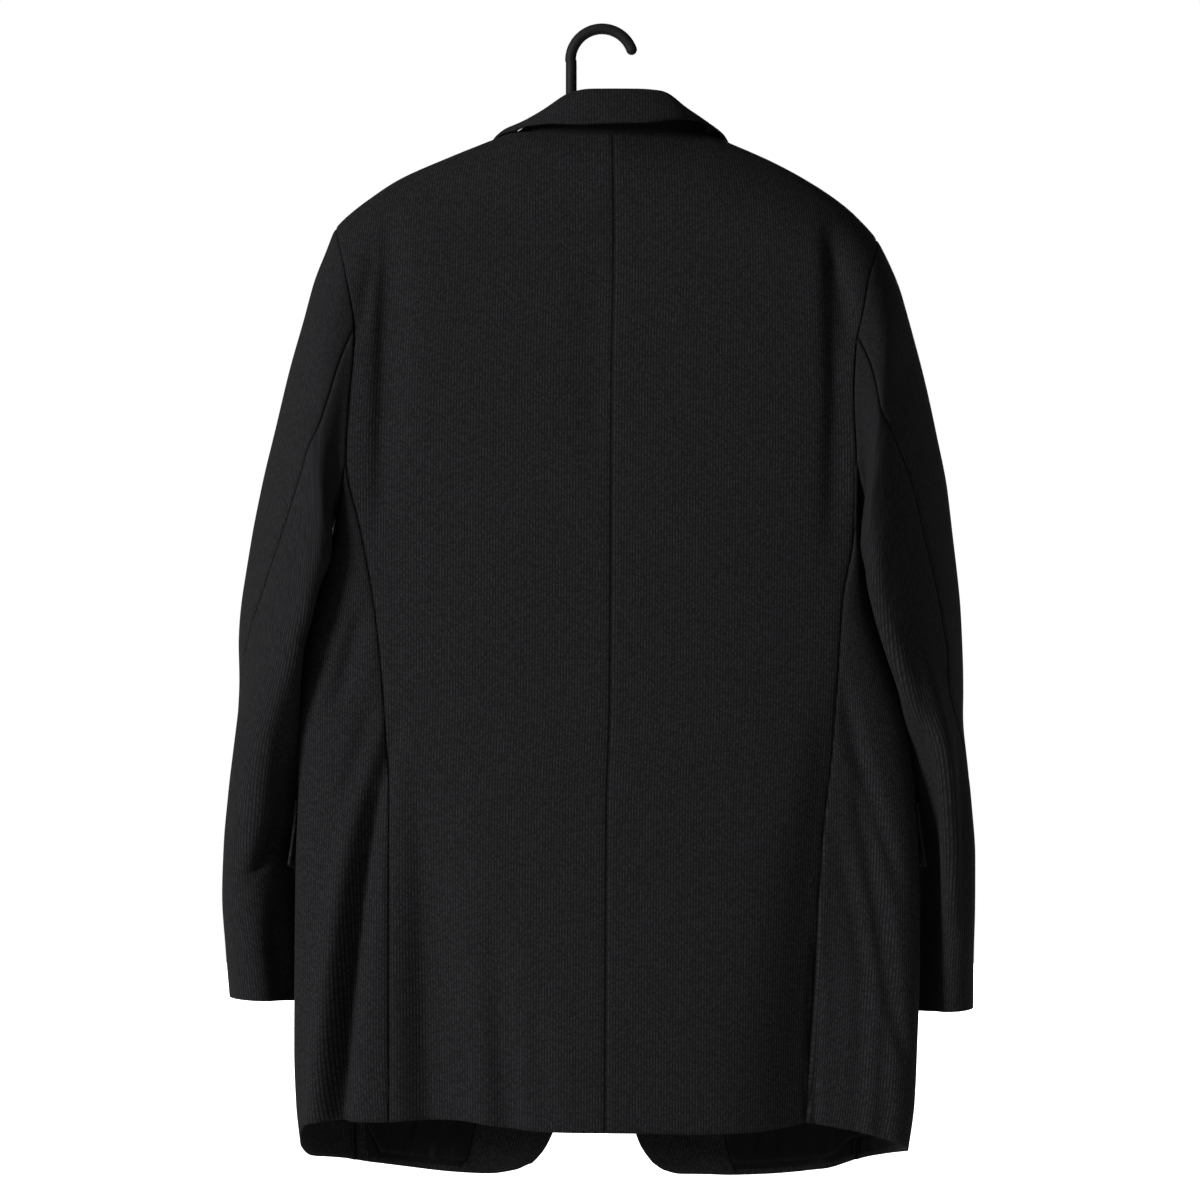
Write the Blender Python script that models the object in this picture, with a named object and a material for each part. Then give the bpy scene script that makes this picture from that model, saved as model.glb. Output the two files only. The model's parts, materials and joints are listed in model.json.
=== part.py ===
"""A tailored blazer hanging on a moulded plastic hanger, back towards +Y, fronts towards -Y.

The origin is where a rail touches the hook: the underside of its crown. Sizes below are in millimetres:
"reach" is the distance sideways from the garment's centre line, "drop" the distance below the origin,
"depth" the distance behind it (+Y). The cloth is one skin of rows and columns, cut into its panels along
the seams, each a wall as thick as the cloth and its interlining.
"""

import math

import bpy
import numpy as np

MM = 0.001
SIDES = {"left": 1.0, "right": -1.0}

# Cloth
WALL = 2.0
LINING_WALL = 1.0
SEAM_GAP = 0.3
MITRE_LIMIT = 1.7
LAST_PLACE = 999
CAP_ORDER = np.array([0.31, 0.17, 1.0])
CENTRE = -3.3

# Rows run from the shoulder (0) past the underarm (ARM_ROW) to the hem; columns from the centre back.
ARM_ROW = 9
HEM_ROW = 24
NECK_COLUMN = 4
BACK_COLUMN = 12
SIDE_COLUMNS = 6
FRONT_COLUMNS = BACK_COLUMN - NECK_COLUMN
COLUMN_SHARE = (0.0, 0.09, 0.18, 0.27, 0.36, 0.45, 0.54, 0.63, 0.71, 0.785, 0.85, 0.92, 1.0)
SHOULDER_CROWDING = 1.35
NECK_BACK_DROP = 86.0
BREAK_ROW = 13

# Sleeves: points round each ring, from the shoulder over the back to the underarm and up the front.
RINGS = 16
RING_POINTS = 24
HIND_SEAM = 5
FRONT_SEAM = 17
FIT_RINGS = 5.0


def table(names, *rows):
    return dict(zip(names.split(), np.array(rows, float).T))


def follow(places, values, at):
    """Smooth curve through a table's rows that never swings past them (monotone cubic)."""
    at = np.clip(at, places[0], places[-1])
    step = np.diff(places)
    slope = np.diff(values) / step
    tangent = np.concatenate([slope[:1], slope[:1] * 0 + np.zeros(len(slope) - 1), slope[-1:]])
    same_way = slope[:-1] * slope[1:] > 0
    total = np.where(same_way, slope[:-1] + slope[1:], 1.0)
    tangent[1:-1] = np.where(same_way, 2 * slope[:-1] * slope[1:] / total, 0.0)
    i = np.clip(np.searchsorted(places, at, side="right") - 1, 0, len(step) - 1)
    t = (at - places[i]) / step[i]
    start, end = values[i], values[i + 1]
    rise_in, rise_out = tangent[i] * step[i], tangent[i + 1] * step[i]
    return (
        start * (2 * t**3 - 3 * t**2 + 1)
        + end * (3 * t**2 - 2 * t**3)
        + rise_in * (t**3 - 2 * t**2 + t)
        + rise_out * (t**3 - t**2)
    )


def mix(first, second, share):
    return first + (second - first) * share


def ease(value, start, end):
    """0 before start, 1 after end, smooth between."""
    t = np.clip((value - start) / (end - start), 0.0, 1.0)
    return t * t * (3 - 2 * t)


# The shoulder ridge, carried on inwards over the neck opening as if it were closed.
SHOULDER = table(
    "reach left right",
    (0, 60, 60),
    (80, 80, 81),
    (90, 84, 85.5),
    (135, 102.5, 105),
    (170, 118.5, 124),
    (196, 136, 142),
    (212, 149, 157),
    (222, 159, 168),
)
# The centre back seam's place sideways.
CENTRE_BACK = table("drop x", (60, -8.5), (180, -9.8), (275, -8.2), (546, -6.6), (632, -4.0), (930, -2.5))
# Depth of the body at five places round it.
BODY_DEPTH = table(
    "drop centre_back seam_back side seam_front centre_front",
    (80, 62, 60, 5, -54, -62),
    (160, 70, 62, 5, -56, -76),
    (250, 76, 64, 6, -56, -88),
    (350, 75, 60, 8, -48, -92),
    (450, 70, 52, 14, -46, -88),
    (560, 65, 48, 18, -50, -84),
    (700, 66, 49, 17, -56, -82),
    (900, 72, 50, 12, -58, -76),
)
# The back panel's outer edge: the armhole, then the side-back seam.
BACK_EDGE = table(
    "drop left right",
    (159, 222, 222),
    (168, 219.5, 222),
    (200, 211, 214),
    (238, 204, 206),
    (256, 203.5, 202),
    (300, 207, 200),
    (351, 210, 202),
    (410, 198, 200.5),
    (465, 188.5, 192),
    (537, 181, 187.5),
    (590, 178, 184),
    (652, 176.5, 178),
    (745, 176, 173),
    (888, 176, 166),
)
# The silhouette of the body below the underarm.
SIDE_EDGE = table(
    "drop left right",
    (382, 217, 206),
    (430, 228, 211),
    (465, 239, 217),
    (501, 247, 228),
    (546, 250, 241),
    (614, 251, 251),
    (680, 253.5, 255.5),
    (760, 254.5, 256.5),
    (830, 255, 254.5),
    (875, 253.5, 252.5),
    (920, 248, 246.5),
)
# The front panel's outer edge: the armhole, then the side-front seam.
FRONT_OUTER = table(
    "drop left right",
    (159, 222, 222),
    (168, 218, 222),
    (200, 207, 208),
    (250, 197, 197),
    (300, 192, 191),
    (345, 193, 190),
    (378, 200, 194),
    (450, 204, 200),
    (560, 208, 206),
    (700, 211, 211),
    (930, 208, 208),
)
# The front panel's inner edge: the roll line, the straight edge, the cutaway and its rounded corner.
FRONT_EDGE = table(
    "drop left right",
    (80, 79.92, 79.92),
    (81, 79.7, 79.92),
    (300, 30, 30),
    (520, -18, -18),
    (610, -18, -18),
    (690, -14, -15),
    (780, 2, -4),
    (850, 23, 11),
    (908, 45, 25),
    (918, 50, 29),
    (925, 55, 33.5),
    (932, 62, 39),
)
BACK_HEM = table(
    "reach left right",
    (0, 893.5, 893.5),
    (45, 893, 894),
    (82, 890, 895),
    (125, 885, 894.5),
    (152, 885.5, 892.5),
    (176, 887, 889.5),
)
SIDE_TOP = table("column drop", (0, 351), (1, 371), (2, 388), (3, 397), (4, 396), (5, 389), (6, 378))
SIDE_HEM = table(
    "column left right",
    (0, 887, 889.5),
    (1, 887, 897),
    (2, 890, 906),
    (3, 910, 914),
    (4, 922, 919),
    (5, 926, 924),
    (6, 929, 929),
)
FRONT_HEM = table(
    "reach left right",
    (39, 933.5, 933.5),
    (48, 933.5, 939.5),
    (62, 934.5, 943),
    (75, 939.5, 943.2),
    (97, 942.5, 943.2),
    (130, 940, 942.5),
    (182, 933.5, 937),
    (208, 929, 929),
)
SHOULDER_FALL = {"back": 75.0, "front": 100.0}
NECK_FALL = 45.0
SECTION_ROUNDNESS = 2.4
UNDER_FRONT = table("drop step", (300, 0), (400, 5.5), (450, 9), (530, 9), (600, 5.4), (940, 5.4))

# Folds pressed into the body (back 1) or its front (back -1): each runs from one place to another.
FOLD_ENDS = (-12.0, 40.0)
FOLD_FACING = 1.6
FOLDS = table(
    "side back drop_a reach_a drop_b reach_b half_width depth",
    (1, 1, 175, 181, 440, 184, 8, -4.5),
    (1, 1, 190, 188, 262, 199, 8, -3.0),
    (-1, 1, 175, 179, 455, 181, 8, -4.5),
    (-1, 1, 190, 186, 275, 198, 8, -3.0),
    (1, 1, 590, 182, 720, 202, 9, -5.0),
    (1, 1, 720, 202, 905, 226, 14, -9.0),
    (1, 1, 620, 152, 900, 140, 16, -4.0),
    (1, 1, 735, 108, 900, 88, 15, -3.0),
    (-1, 1, 585, 154, 760, 136, 22, -5.0),
    (-1, 1, 760, 136, 900, 134, 26, -7.0),
    (-1, 1, 790, 186, 905, 182, 9, -4.5),
    (-1, 1, 600, 198, 745, 238, 10, -4.5),
    (-1, 1, 655, 202, 840, 238, 10, -5.0),
    (1, -1, 600, 150, 900, 128, 20, -4.5),
    (-1, -1, 640, 120, 900, 104, 22, -4.5),
    (1, -1, 300, 150, 420, 175, 14, -3.0),
    (-1, -1, 310, 146, 430, 172, 14, -3.0),
)


def edge(name_table, side, at):
    return follow(name_table[next(iter(name_table))], name_table[side], at)


def body_depth(column, drop):
    return follow(BODY_DEPTH["drop"], BODY_DEPTH[column], drop)


def crowded(row):
    return (np.minimum(row, ARM_ROW) / ARM_ROW) ** SHOULDER_CROWDING


def down(row, top, middle, bottom):
    """Drop of a row in a column that starts at top, passes middle at the underarm row and ends at bottom."""
    above = mix(top, middle, crowded(row))
    below = mix(middle, bottom, np.maximum(row - ARM_ROW, 0.0) / (HEM_ROW - ARM_ROW))
    return np.where(row <= ARM_ROW, above, below)


def rounded(face, side, reach, drop):
    """How far the cloth has turned from the shoulder ridge (0) to the flat of the body (1)."""
    fall = SHOULDER_FALL[face] + (NECK_FALL * ease(-reach, -150.0, -70.0) if face == "front" else 0.0)
    turned = np.clip((drop - edge(SHOULDER, side, np.maximum(reach, 0.0))) / fall, 0.0, 1.0)
    return np.sqrt(np.maximum(1 - (1 - turned) ** 2, 0.0))


def tip(side):
    return SHOULDER["reach"][-1], edge(SHOULDER, side, SHOULDER["reach"][-1])


def neck_half():
    return COLUMN_SHARE[NECK_COLUMN] * SHOULDER["reach"][-1]


def top_drop(side, reach):
    """The neckline near the centre, the shoulder seam beyond it."""
    at_neck = edge(SHOULDER, side, neck_half())
    neckline = mix(NECK_BACK_DROP, at_neck, np.clip(reach / neck_half(), 0.0, 1.0) ** 2)
    return np.where(reach < neck_half(), neckline, edge(SHOULDER, side, reach))


def placed(side, reach, depth, drop, share=1.0):
    centre = mix(follow(CENTRE_BACK["drop"], CENTRE_BACK["x"], drop), CENTRE, share)
    return np.stack(np.broadcast_arrays(centre + SIDES[side] * reach, depth, -drop), axis=-1)


def back_point(side, row, column):
    share = np.interp(column, np.arange(BACK_COLUMN + 1), COLUMN_SHARE)
    widest, tip_drop = tip(side)
    seam_middle, seam_hem = SIDE_TOP["drop"][0], SIDE_HEM[side][0]
    edge_drop = down(row, tip_drop, seam_middle, seam_hem)
    reach = share * edge(BACK_EDGE, side, edge_drop)
    hem = edge(BACK_HEM, side, share * BACK_HEM["reach"][-1])
    drop = down(row, top_drop(side, share * widest), seam_middle, hem)
    flat = mix(body_depth("centre_back", drop), body_depth("seam_back", drop), share**SECTION_ROUNDNESS)
    return placed(side, reach, flat * rounded("back", side, reach, drop), drop, share)


def front_point(side, row, column):
    share = np.interp(BACK_COLUMN - column, np.arange(BACK_COLUMN + 1), COLUMN_SHARE)
    across = (share - COLUMN_SHARE[NECK_COLUMN]) / (1 - COLUMN_SHARE[NECK_COLUMN])
    widest, tip_drop = tip(side)
    edge_middle, seam_middle, seam_hem = SIDE_TOP["drop"][-1] + 10, SIDE_TOP["drop"][-1], SIDE_HEM[side][-1]
    corner_drop = FRONT_EDGE["drop"][-1]
    inner_drop = down(row, edge(SHOULDER, side, neck_half()), edge_middle, corner_drop)
    outer_drop = down(row, tip_drop, seam_middle, seam_hem)
    inner, outer = edge(FRONT_EDGE, side, inner_drop), edge(FRONT_OUTER, side, outer_drop)
    reach = mix(inner, outer, across)
    hem_reach = mix(FRONT_EDGE[side][-1], edge(FRONT_OUTER, side, seam_hem), across)
    hem = edge(FRONT_HEM, side, hem_reach)
    drop = down(row, edge(SHOULDER, side, share * widest), mix(edge_middle, seam_middle, across), hem)
    round_share = np.clip(np.abs(reach) / outer, 0.0, 1.0) ** SECTION_ROUNDNESS
    flat = mix(body_depth("centre_front", drop), body_depth("seam_front", drop), round_share)
    depth = flat * rounded("front", side, reach, drop)
    if side == "right":
        step = follow(UNDER_FRONT["drop"], UNDER_FRONT["step"], drop)
        depth = depth + step * ease(-reach, -80.0, -28.0)
    return placed(side, reach, depth, drop, mix(share, 1.0, crowded(row)))


def side_point(side, row, column):
    back, front = back_point(side, row, BACK_COLUMN), front_point(side, row, 0.0)
    drop = down(
        row,
        0.0,
        follow(SIDE_TOP["column"], SIDE_TOP["drop"], column),
        follow(SIDE_HEM["column"], SIDE_HEM[side], column),
    )
    turn = np.pi * column / SIDE_COLUMNS
    widest, middle = edge(SIDE_EDGE, side, drop), body_depth("side", drop)
    seam = np.where((column <= SIDE_COLUMNS / 2)[..., None], back, front)
    seam_reach = SIDES[side] * (seam[..., 0] - CENTRE)
    reach = seam_reach + (widest - seam_reach) * np.sin(turn)
    depth = middle + (seam[..., 1] - middle) * np.abs(np.cos(turn))
    return placed(side, reach, depth, drop)


def grid(point, side, rows, columns):
    row, column = np.meshgrid(np.asarray(rows, float), np.asarray(columns, float), indexing="ij")
    return point(side, row, column)


# Sleeves: where each ring lies on the outer and the inner line, its depth and width from front to back,
# how far round the two seams have turned (0 = outward, 90 = back, 180 = towards the body), and how far
# its back leans outward (negative: in behind the side panel).
SLEEVE = table(
    "ring outer_drop inner_drop depth half_deep front_turn",
    (0, 163, 399, 3, 62, 250),
    (1, 181, 403, 3, 64, 246),
    (2, 205, 408, 2, 67, 242),
    (3, 236, 414, 1, 70, 238),
    (4, 272, 421, 0, 73, 232),
    (5, 314, 430, -1, 76, 226),
    (6, 360, 442, -3, 77, 220),
    (7, 406, 457, -5, 77, 215),
    (8, 450, 479, -8, 76, 210),
    (9, 494, 508, -12, 74, 206),
    (10, 538, 543, -17, 72, 203),
    (11, 581, 583, -23, 70, 200),
    (12, 624, 625, -30, 67, 198),
    (13, 667, 668, -37, 64, 196),
    (14, 710, 711, -43, 61, 195),
    (15, 752, 754, -48, 58, 195),
    (16, 791, 794, -51, 56, 195),
)
SLEEVE_SIDE = {
    "left": table(
        "ring outer inner hind_turn lean",
        (0, 222, 214, 75, 0),
        (1, 229, 219, 92, 0),
        (2, 239, 221, 91, -2),
        (3, 248, 224, 84, -6),
        (4, 258, 227.5, 74, -12),
        (5, 267, 233.5, 61, -17),
        (6, 275.5, 238, 48, -23),
        (7, 283, 243.5, 36, -25),
        (8, 290, 250, 22, -25),
        (9, 297, 255.5, 8, -21),
        (10, 301.5, 254.5, 0, -11),
        (11, 306, 252, -4, 1),
        (12, 310, 252, -8, 7),
        (13, 313.5, 252.5, -12, 9),
        (14, 315.5, 248, -14, 9),
        (15, 313.5, 246, -15, 8),
        (16, 310.5, 245, -15, 8),
    ),
    "right": table(
        "ring outer inner hind_turn lean",
        (0, 222, 207, 75, 0),
        (1, 231, 210.5, 88, 0),
        (2, 241, 212, 86, -3),
        (3, 249.5, 214, 78, -10),
        (4, 257, 216.5, 65, -19),
        (5, 264, 219, 51, -25),
        (6, 270, 223.5, 34, -30),
        (7, 275.5, 226.5, 26, -30),
        (8, 281, 233, 18, -29),
        (9, 286, 240.5, 14, -25),
        (10, 292, 247.5, 28, -16),
        (11, 296.5, 250, 26, 0),
        (12, 299.5, 252, 8, 7),
        (13, 302, 254, -6, 9),
        (14, 302.5, 253, -12, 9),
        (15, 302.5, 250.5, -15, 8),
        (16, 302.5, 249, -15, 8),
    ),
}
CUFF_DROP = {"left": 0.0, "right": 9.0}

# Creases across the sleeves, seen from behind: drop and reach of their ends.
SLEEVE_FOLDS = table(
    "side back drop_a reach_a drop_b reach_b half_width depth",
    (1, 1, 545, 254, 690, 300, 9, -4.0),
    (1, 1, 668, 262, 708, 288, 8, -3.0),
    (1, 1, 716, 268, 790, 264, 10, -4.0),
    (-1, 1, 470, 252, 560, 262, 12, -3.5),
)


def armhole_point(side, place):
    """A point of the armhole: place counts back from the shoulder tip and comes round to the front."""
    front_top = ARM_ROW + SIDE_COLUMNS
    back = back_point(side, np.minimum(place, ARM_ROW), np.full_like(place, BACK_COLUMN))
    under_place = np.clip(place - ARM_ROW, 0, SIDE_COLUMNS)
    under = side_point(side, np.full_like(place, ARM_ROW), under_place)
    front = front_point(side, np.clip(RING_POINTS - place, 0, ARM_ROW), np.zeros_like(place))
    point = np.where((place <= ARM_ROW)[..., None], back, under)
    return np.where((place >= front_top)[..., None], front, point)


def ring_frame(side, ring):
    """Centre of a sleeve ring, its vector towards the outer line and its vector towards the back."""
    shared, own = SLEEVE, SLEEVE_SIDE[side]
    drop_out = follow(shared["ring"], shared["outer_drop"], ring)
    drop_in = follow(shared["ring"], shared["inner_drop"], ring)
    reach_out = follow(own["ring"], own["outer"], ring)
    reach_in = follow(own["ring"], own["inner"], ring)
    middle = follow(shared["ring"], shared["depth"], ring)
    lower = CUFF_DROP[side] * ring / RINGS
    centre = placed(side, (reach_out + reach_in) / 2, middle, (drop_out + drop_in) / 2 + lower)
    outward = placed(side, (reach_out - reach_in) / 2, 0 * ring, (drop_out - drop_in) / 2)
    outward = outward - placed(side, 0 * ring, 0 * ring, 0 * ring)
    backward = np.stack([0 * ring, follow(shared["ring"], shared["half_deep"], ring), 0 * ring], axis=-1)
    return centre, outward, backward


def sleeve_turn(side, ring, place):
    """Angle of a point round the ring: as round the armhole at first, evenly between the seams below."""
    start = np.arange(RING_POINTS + 1.0)
    centre, outward, backward = ring_frame(side, np.zeros(len(start)))
    arm = armhole_point(side, start) - centre
    across = np.sum(arm * outward, axis=-1) / np.sum(outward**2, axis=-1)
    behind = arm[:, 1] / backward[:, 1]
    natural = np.degrees(np.arctan2(behind, across)) % 360.0
    natural[0], natural[-1] = 0.0, 360.0
    hind = follow(SLEEVE_SIDE[side]["ring"], SLEEVE_SIDE[side]["hind_turn"], ring)
    front = follow(SLEEVE["ring"], SLEEVE["front_turn"], ring)
    under = mix(hind, front, (place - HIND_SEAM) / (FRONT_SEAM - HIND_SEAM))
    top_count = RING_POINTS - FRONT_SEAM + HIND_SEAM
    top = mix(front - 360.0, hind, ((place - FRONT_SEAM) % RING_POINTS) / top_count)
    top = np.where(place > HIND_SEAM, top + 360.0, top)
    even = np.where((place >= HIND_SEAM) & (place <= FRONT_SEAM), under, top)
    return np.radians(mix(np.interp(place, start, natural), even, ease(ring, 0.0, FIT_RINGS)))


def sleeve_point(side, ring, place):
    turn = sleeve_turn(side, ring, place)
    centre, outward, backward = ring_frame(side, ring)
    lean = SIDES[side] * follow(SLEEVE_SIDE[side]["ring"], SLEEVE_SIDE[side]["lean"], ring)
    backward = backward + np.stack([lean, 0 * lean, 0 * lean], axis=-1)
    oval = centre + np.cos(turn)[..., None] * outward + np.sin(turn)[..., None] * backward
    first_centre, first_out, first_back = ring_frame(side, 0 * ring)
    first_turn = sleeve_turn(side, 0 * ring, place)
    first_oval = first_centre + np.cos(first_turn)[..., None] * first_out
    first_oval = first_oval + np.sin(first_turn)[..., None] * first_back
    fitted = (armhole_point(side, place) - first_oval) * (1 - ease(ring, 0.0, FIT_RINGS))[..., None]
    return oval + fitted


def unit(vectors):
    return vectors / np.maximum(np.linalg.norm(vectors, axis=-1, keepdims=True), 1e-9)


def grid_normals(points):
    """One normal for each point of a grid, from the faces round it."""
    across = (points[1:, 1:] - points[:-1, :-1], points[1:, :-1] - points[:-1, 1:])
    face = unit(np.cross(across[0], across[1]))
    total = np.zeros_like(points)
    for rows in (slice(None, -1), slice(1, None)):
        for columns in (slice(None, -1), slice(1, None)):
            total[rows, columns] += face
    return unit(total)


def fold_push(folds, side, facing, points, normals):
    """How far the listed folds of one face press each point in (negative) or out."""
    reach, drop = SIDES[side] * (points[..., 0] - CENTRE), -points[..., 2]
    push = np.zeros(reach.shape)
    for i in np.flatnonzero((folds["side"] == SIDES[side]) & (folds["back"] == facing)):
        start = np.array([folds["reach_a"][i], folds["drop_a"][i]])
        run = np.array([folds["reach_b"][i], folds["drop_b"][i]]) - start
        length = np.linalg.norm(run)
        run = run / length
        along = (reach - start[0]) * run[0] + (drop - start[1]) * run[1]
        off = (reach - start[0]) * run[1] - (drop - start[1]) * run[0]
        ends = ease(along, *FOLD_ENDS) * ease(length - along, *FOLD_ENDS)
        push = push + folds["depth"][i] * np.exp(-((off / folds["half_width"][i]) ** 2)) * ends
    return push * np.clip(facing * normals[..., 1] * FOLD_FACING, 0.0, 1.0)


def build_skin():
    """The outer surface of the whole garment: points and normals of each panel, shared along the seams."""
    rows, lower_rows = range(HEM_ROW + 1), range(ARM_ROW, HEM_ROW + 1)
    skin = {}
    for side in SIDES:
        skin["back_" + side] = grid(back_point, side, rows, range(BACK_COLUMN + 1))
        skin["side_" + side] = grid(side_point, side, lower_rows, range(SIDE_COLUMNS + 1))
        skin["front_" + side] = grid(front_point, side, rows, range(FRONT_COLUMNS + 1))
        skin["sleeve_" + side] = grid(sleeve_point, side, range(RINGS + 1), range(RING_POINTS + 1))
    outward = {"back": (0, 1), "front": (0, -1), "side": (1, 0), "sleeve": (1, 0)}
    normals, flips = {}, {}
    for name, points in skin.items():
        part, side = name.split("_")
        normal = grid_normals(points)
        if part == "sleeve":
            turned = unit(normal[:, :1] + normal[:, -1:])
            normal[:, :1], normal[:, -1:] = turned, turned
        probe = normal[:, :3] if part == "sleeve" else normal
        direction = np.array([outward[part][0] * SIDES[side], outward[part][1], 0.0])
        flips[name] = -1.0 if probe.reshape(-1, 3).mean(axis=0) @ direction < 0 else 1.0
        normals[name] = normal * flips[name]
    normals = {name: unit(normal) for name, normal in shared(skin, normals).items()}
    for name, points in skin.items():
        part, side = name.split("_")
        folds = SLEEVE_FOLDS if part == "sleeve" else FOLDS
        push = sum(fold_push(folds, side, facing, points, normals[name]) for facing in (1.0, -1.0))
        skin[name] = points + normals[name] * push[..., None]
    for name, points in skin.items():
        normals[name] = grid_normals(points) * flips[name]
        if name.startswith("sleeve"):
            turned = unit(normals[name][:, :1] + normals[name][:, -1:])
            normals[name][:, :1], normals[name][:, -1:] = turned, turned
    own = {name: normal.copy() for name, normal in normals.items()}
    normals = {name: unit(normal) for name, normal in shared(skin, normals).items()}
    return skin, normals, inner_skin(skin, normals, own)


def shared(skin, values):
    """The mean of each point's values over the panels that meet there."""
    names = list(skin)
    width = values[names[0]].shape[-1]
    points = np.concatenate([skin[name].reshape(-1, 3) for name in names])
    flat = np.concatenate([values[name].reshape(-1, width) for name in names])
    _, index, count = np.unique(np.round(points, 2), axis=0, return_inverse=True, return_counts=True)
    index = index.reshape(-1)
    total = np.zeros((len(count), width))
    np.add.at(total, index, flat)
    mean = (total / count[:, None])[index]
    ends = np.cumsum([values[name][..., 0].size for name in names])
    pieces = np.split(mean, ends[:-1])
    return {name: piece.reshape(values[name].shape) for name, piece in zip(names, pieces)}


def inner_skin(skin, normals, own):
    """The other face of the wall, mitred where two panels meet at an angle."""
    straight = {name: np.sum(normals[name] * own[name], axis=-1, keepdims=True) for name in skin}
    straight = shared(skin, straight)
    return {
        name: skin[name] - normals[name] * WALL / np.maximum(straight[name], 1 / MITRE_LIMIT)
        for name in skin
    }


def cut_back(faces, normals, borders):
    """Moves a panel's borders half a seam gap into the panel. Borders: (axis, index, first, last)."""
    moved = [face.copy() for face in faces]
    outer = faces[0]
    for axis, index, first, last in borders:
        line = np.moveaxis(outer, axis, 0)[index]
        inside = np.moveaxis(outer, axis, 0)[1 if index == 0 else -2]
        normal = np.moveaxis(normals, axis, 0)[index]
        along = np.gradient(line, axis=0)
        step = unit(np.cross(along, normal))
        step = step * np.where(np.sum(step * (inside - line), axis=-1, keepdims=True) < 0, -1.0, 1.0)
        step[: first] = 0.0
        step[last + 1 :] = 0.0
        for face in moved:
            np.moveaxis(face, axis, 0)[index] += step * SEAM_GAP / 2
    return moved


def add_object(name, points, faces, finish):
    mesh = bpy.data.meshes.new(name)
    mesh.from_pydata([tuple(point) for point in np.asarray(points) * MM], [], faces)
    mesh.materials.append(material(finish))
    mesh.validate()
    obj = bpy.data.objects.new(name, mesh)
    bpy.context.collection.objects.link(obj)
    mesh.shade_smooth()
    mesh.set_sharp_from_angle(angle=math.radians(40.0))
    return obj


FINISHES = {
    "wool": ((0.012, 0.012, 0.013), 0.85, 0.0),
    "felt": ((0.004, 0.004, 0.004), 0.95, 0.0),
    "satin": ((0.006, 0.006, 0.007), 0.35, 0.0),
    "horn": ((0.010, 0.009, 0.008), 0.40, 0.0),
    "moulding": ((0.006, 0.006, 0.006), 0.45, 0.0),
}


def material(finish):
    found = bpy.data.materials.get(finish)
    if found:
        return found
    made = bpy.data.materials.new(finish)
    made.use_nodes = True
    shader = made.node_tree.nodes["Principled BSDF"]
    colour, roughness, metallic = FINISHES[finish]
    shader.inputs["Base Color"].default_value = (*colour, 1.0)
    shader.inputs["Roughness"].default_value = roughness
    shader.inputs["Metallic"].default_value = metallic
    return made


def wall_object(name, outer, inner, finish):
    """A closed wall between two grids of the same size, facing out whichever way they run."""
    rows, columns = outer.shape[:2]
    points = np.concatenate([outer.reshape(-1, 3), inner.reshape(-1, 3)])
    second = rows * columns
    quads = []
    for i in range(rows - 1):
        for j in range(columns - 1):
            a, b = i * columns + j, (i + 1) * columns + j
            quads.append((a, b, b + 1, a + 1))
            quads.append((second + a, second + a + 1, second + b + 1, second + b))
    rim = [(0, j) for j in range(columns - 1)] + [(i, columns - 1) for i in range(rows - 1)]
    rim += [(rows - 1, j) for j in range(columns - 1, 0, -1)] + [(i, 0) for i in range(rows - 1, 0, -1)]
    loop = [i * columns + j for i, j in rim]
    triangles = []
    for a, b, c, d in quads:
        triangles += [(a, b, c), (a, c, d)]
    # Two panels split the faces of their shared seam along the same diagonals.
    height = points @ CAP_ORDER
    for a, b in zip(loop, loop[1:] + loop[:1]):
        if height[a] > height[b]:
            triangles += [(a, b, second + b), (a, second + b, second + a)]
        else:
            triangles += [(a, b, second + a), (b, second + b, second + a)]
    corners = points[np.array(triangles)]
    if np.linalg.det(corners - points.mean(axis=0)).sum() < 0:
        triangles = [(a, c, b) for a, b, c in triangles]
    return add_object(name, points, triangles, finish)


def make_panels(skin, normals, lining_side):
    """Backs, sides, fronts and both parts of each sleeve."""
    whole = (0, LAST_PLACE)
    for side in SIDES:
        seams = {
            "back": [(0, 0, NECK_COLUMN, LAST_PLACE), (1, 0, *whole), (1, -1, *whole)],
            "side": [(0, 0, *whole), (1, 0, *whole), (1, -1, *whole)],
            "front": [(0, 0, *whole), (1, 0, *whole)],
        }
        for part, borders in seams.items():
            key = f"{part}_{side}"
            outer, inner = cut_back([skin[key], lining_side[key]], normals[key], borders)
            wall_object(key, outer, inner, "wool")
        key = "sleeve_" + side
        outer, normal, inner = skin[key], normals[key], lining_side[key]
        under = np.arange(HIND_SEAM, FRONT_SEAM + 1)
        top = np.arange(FRONT_SEAM, FRONT_SEAM + RING_POINTS - (FRONT_SEAM - HIND_SEAM) + 1) % RING_POINTS
        for part, places in (("under", under), ("top", top)):
            borders = [(0, 0, *whole), (1, 0, *whole), (1, -1, *whole)]
            faces = cut_back([outer[:, places], inner[:, places]], normal[:, places], borders)
            wall_object(f"sleeve_{part}_{side}", *faces, "wool")


def sample(points, row, column):
    """Points of a panel's grid at rows and columns that need not be whole, along its own facets."""
    i = np.clip(np.floor(row).astype(int), 0, points.shape[0] - 2)
    j = np.clip(np.floor(column).astype(int), 0, points.shape[1] - 2)
    down_share, across_share = (row - i)[..., None], (column - j)[..., None]
    upper = mix(points[i, j], points[i, j + 1], across_share)
    lower = mix(points[i + 1, j], points[i + 1, j + 1], across_share)
    return mix(upper, lower, down_share)


def steps(first, last):
    """The two ends and every whole row or column between them, so that a sheet follows a panel's facets."""
    inside = np.arange(math.ceil(min(first, last) + 0.02), math.floor(max(first, last) - 0.02) + 1.0)
    return np.concatenate([[first], inside if last > first else inside[::-1], [last]])


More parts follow.
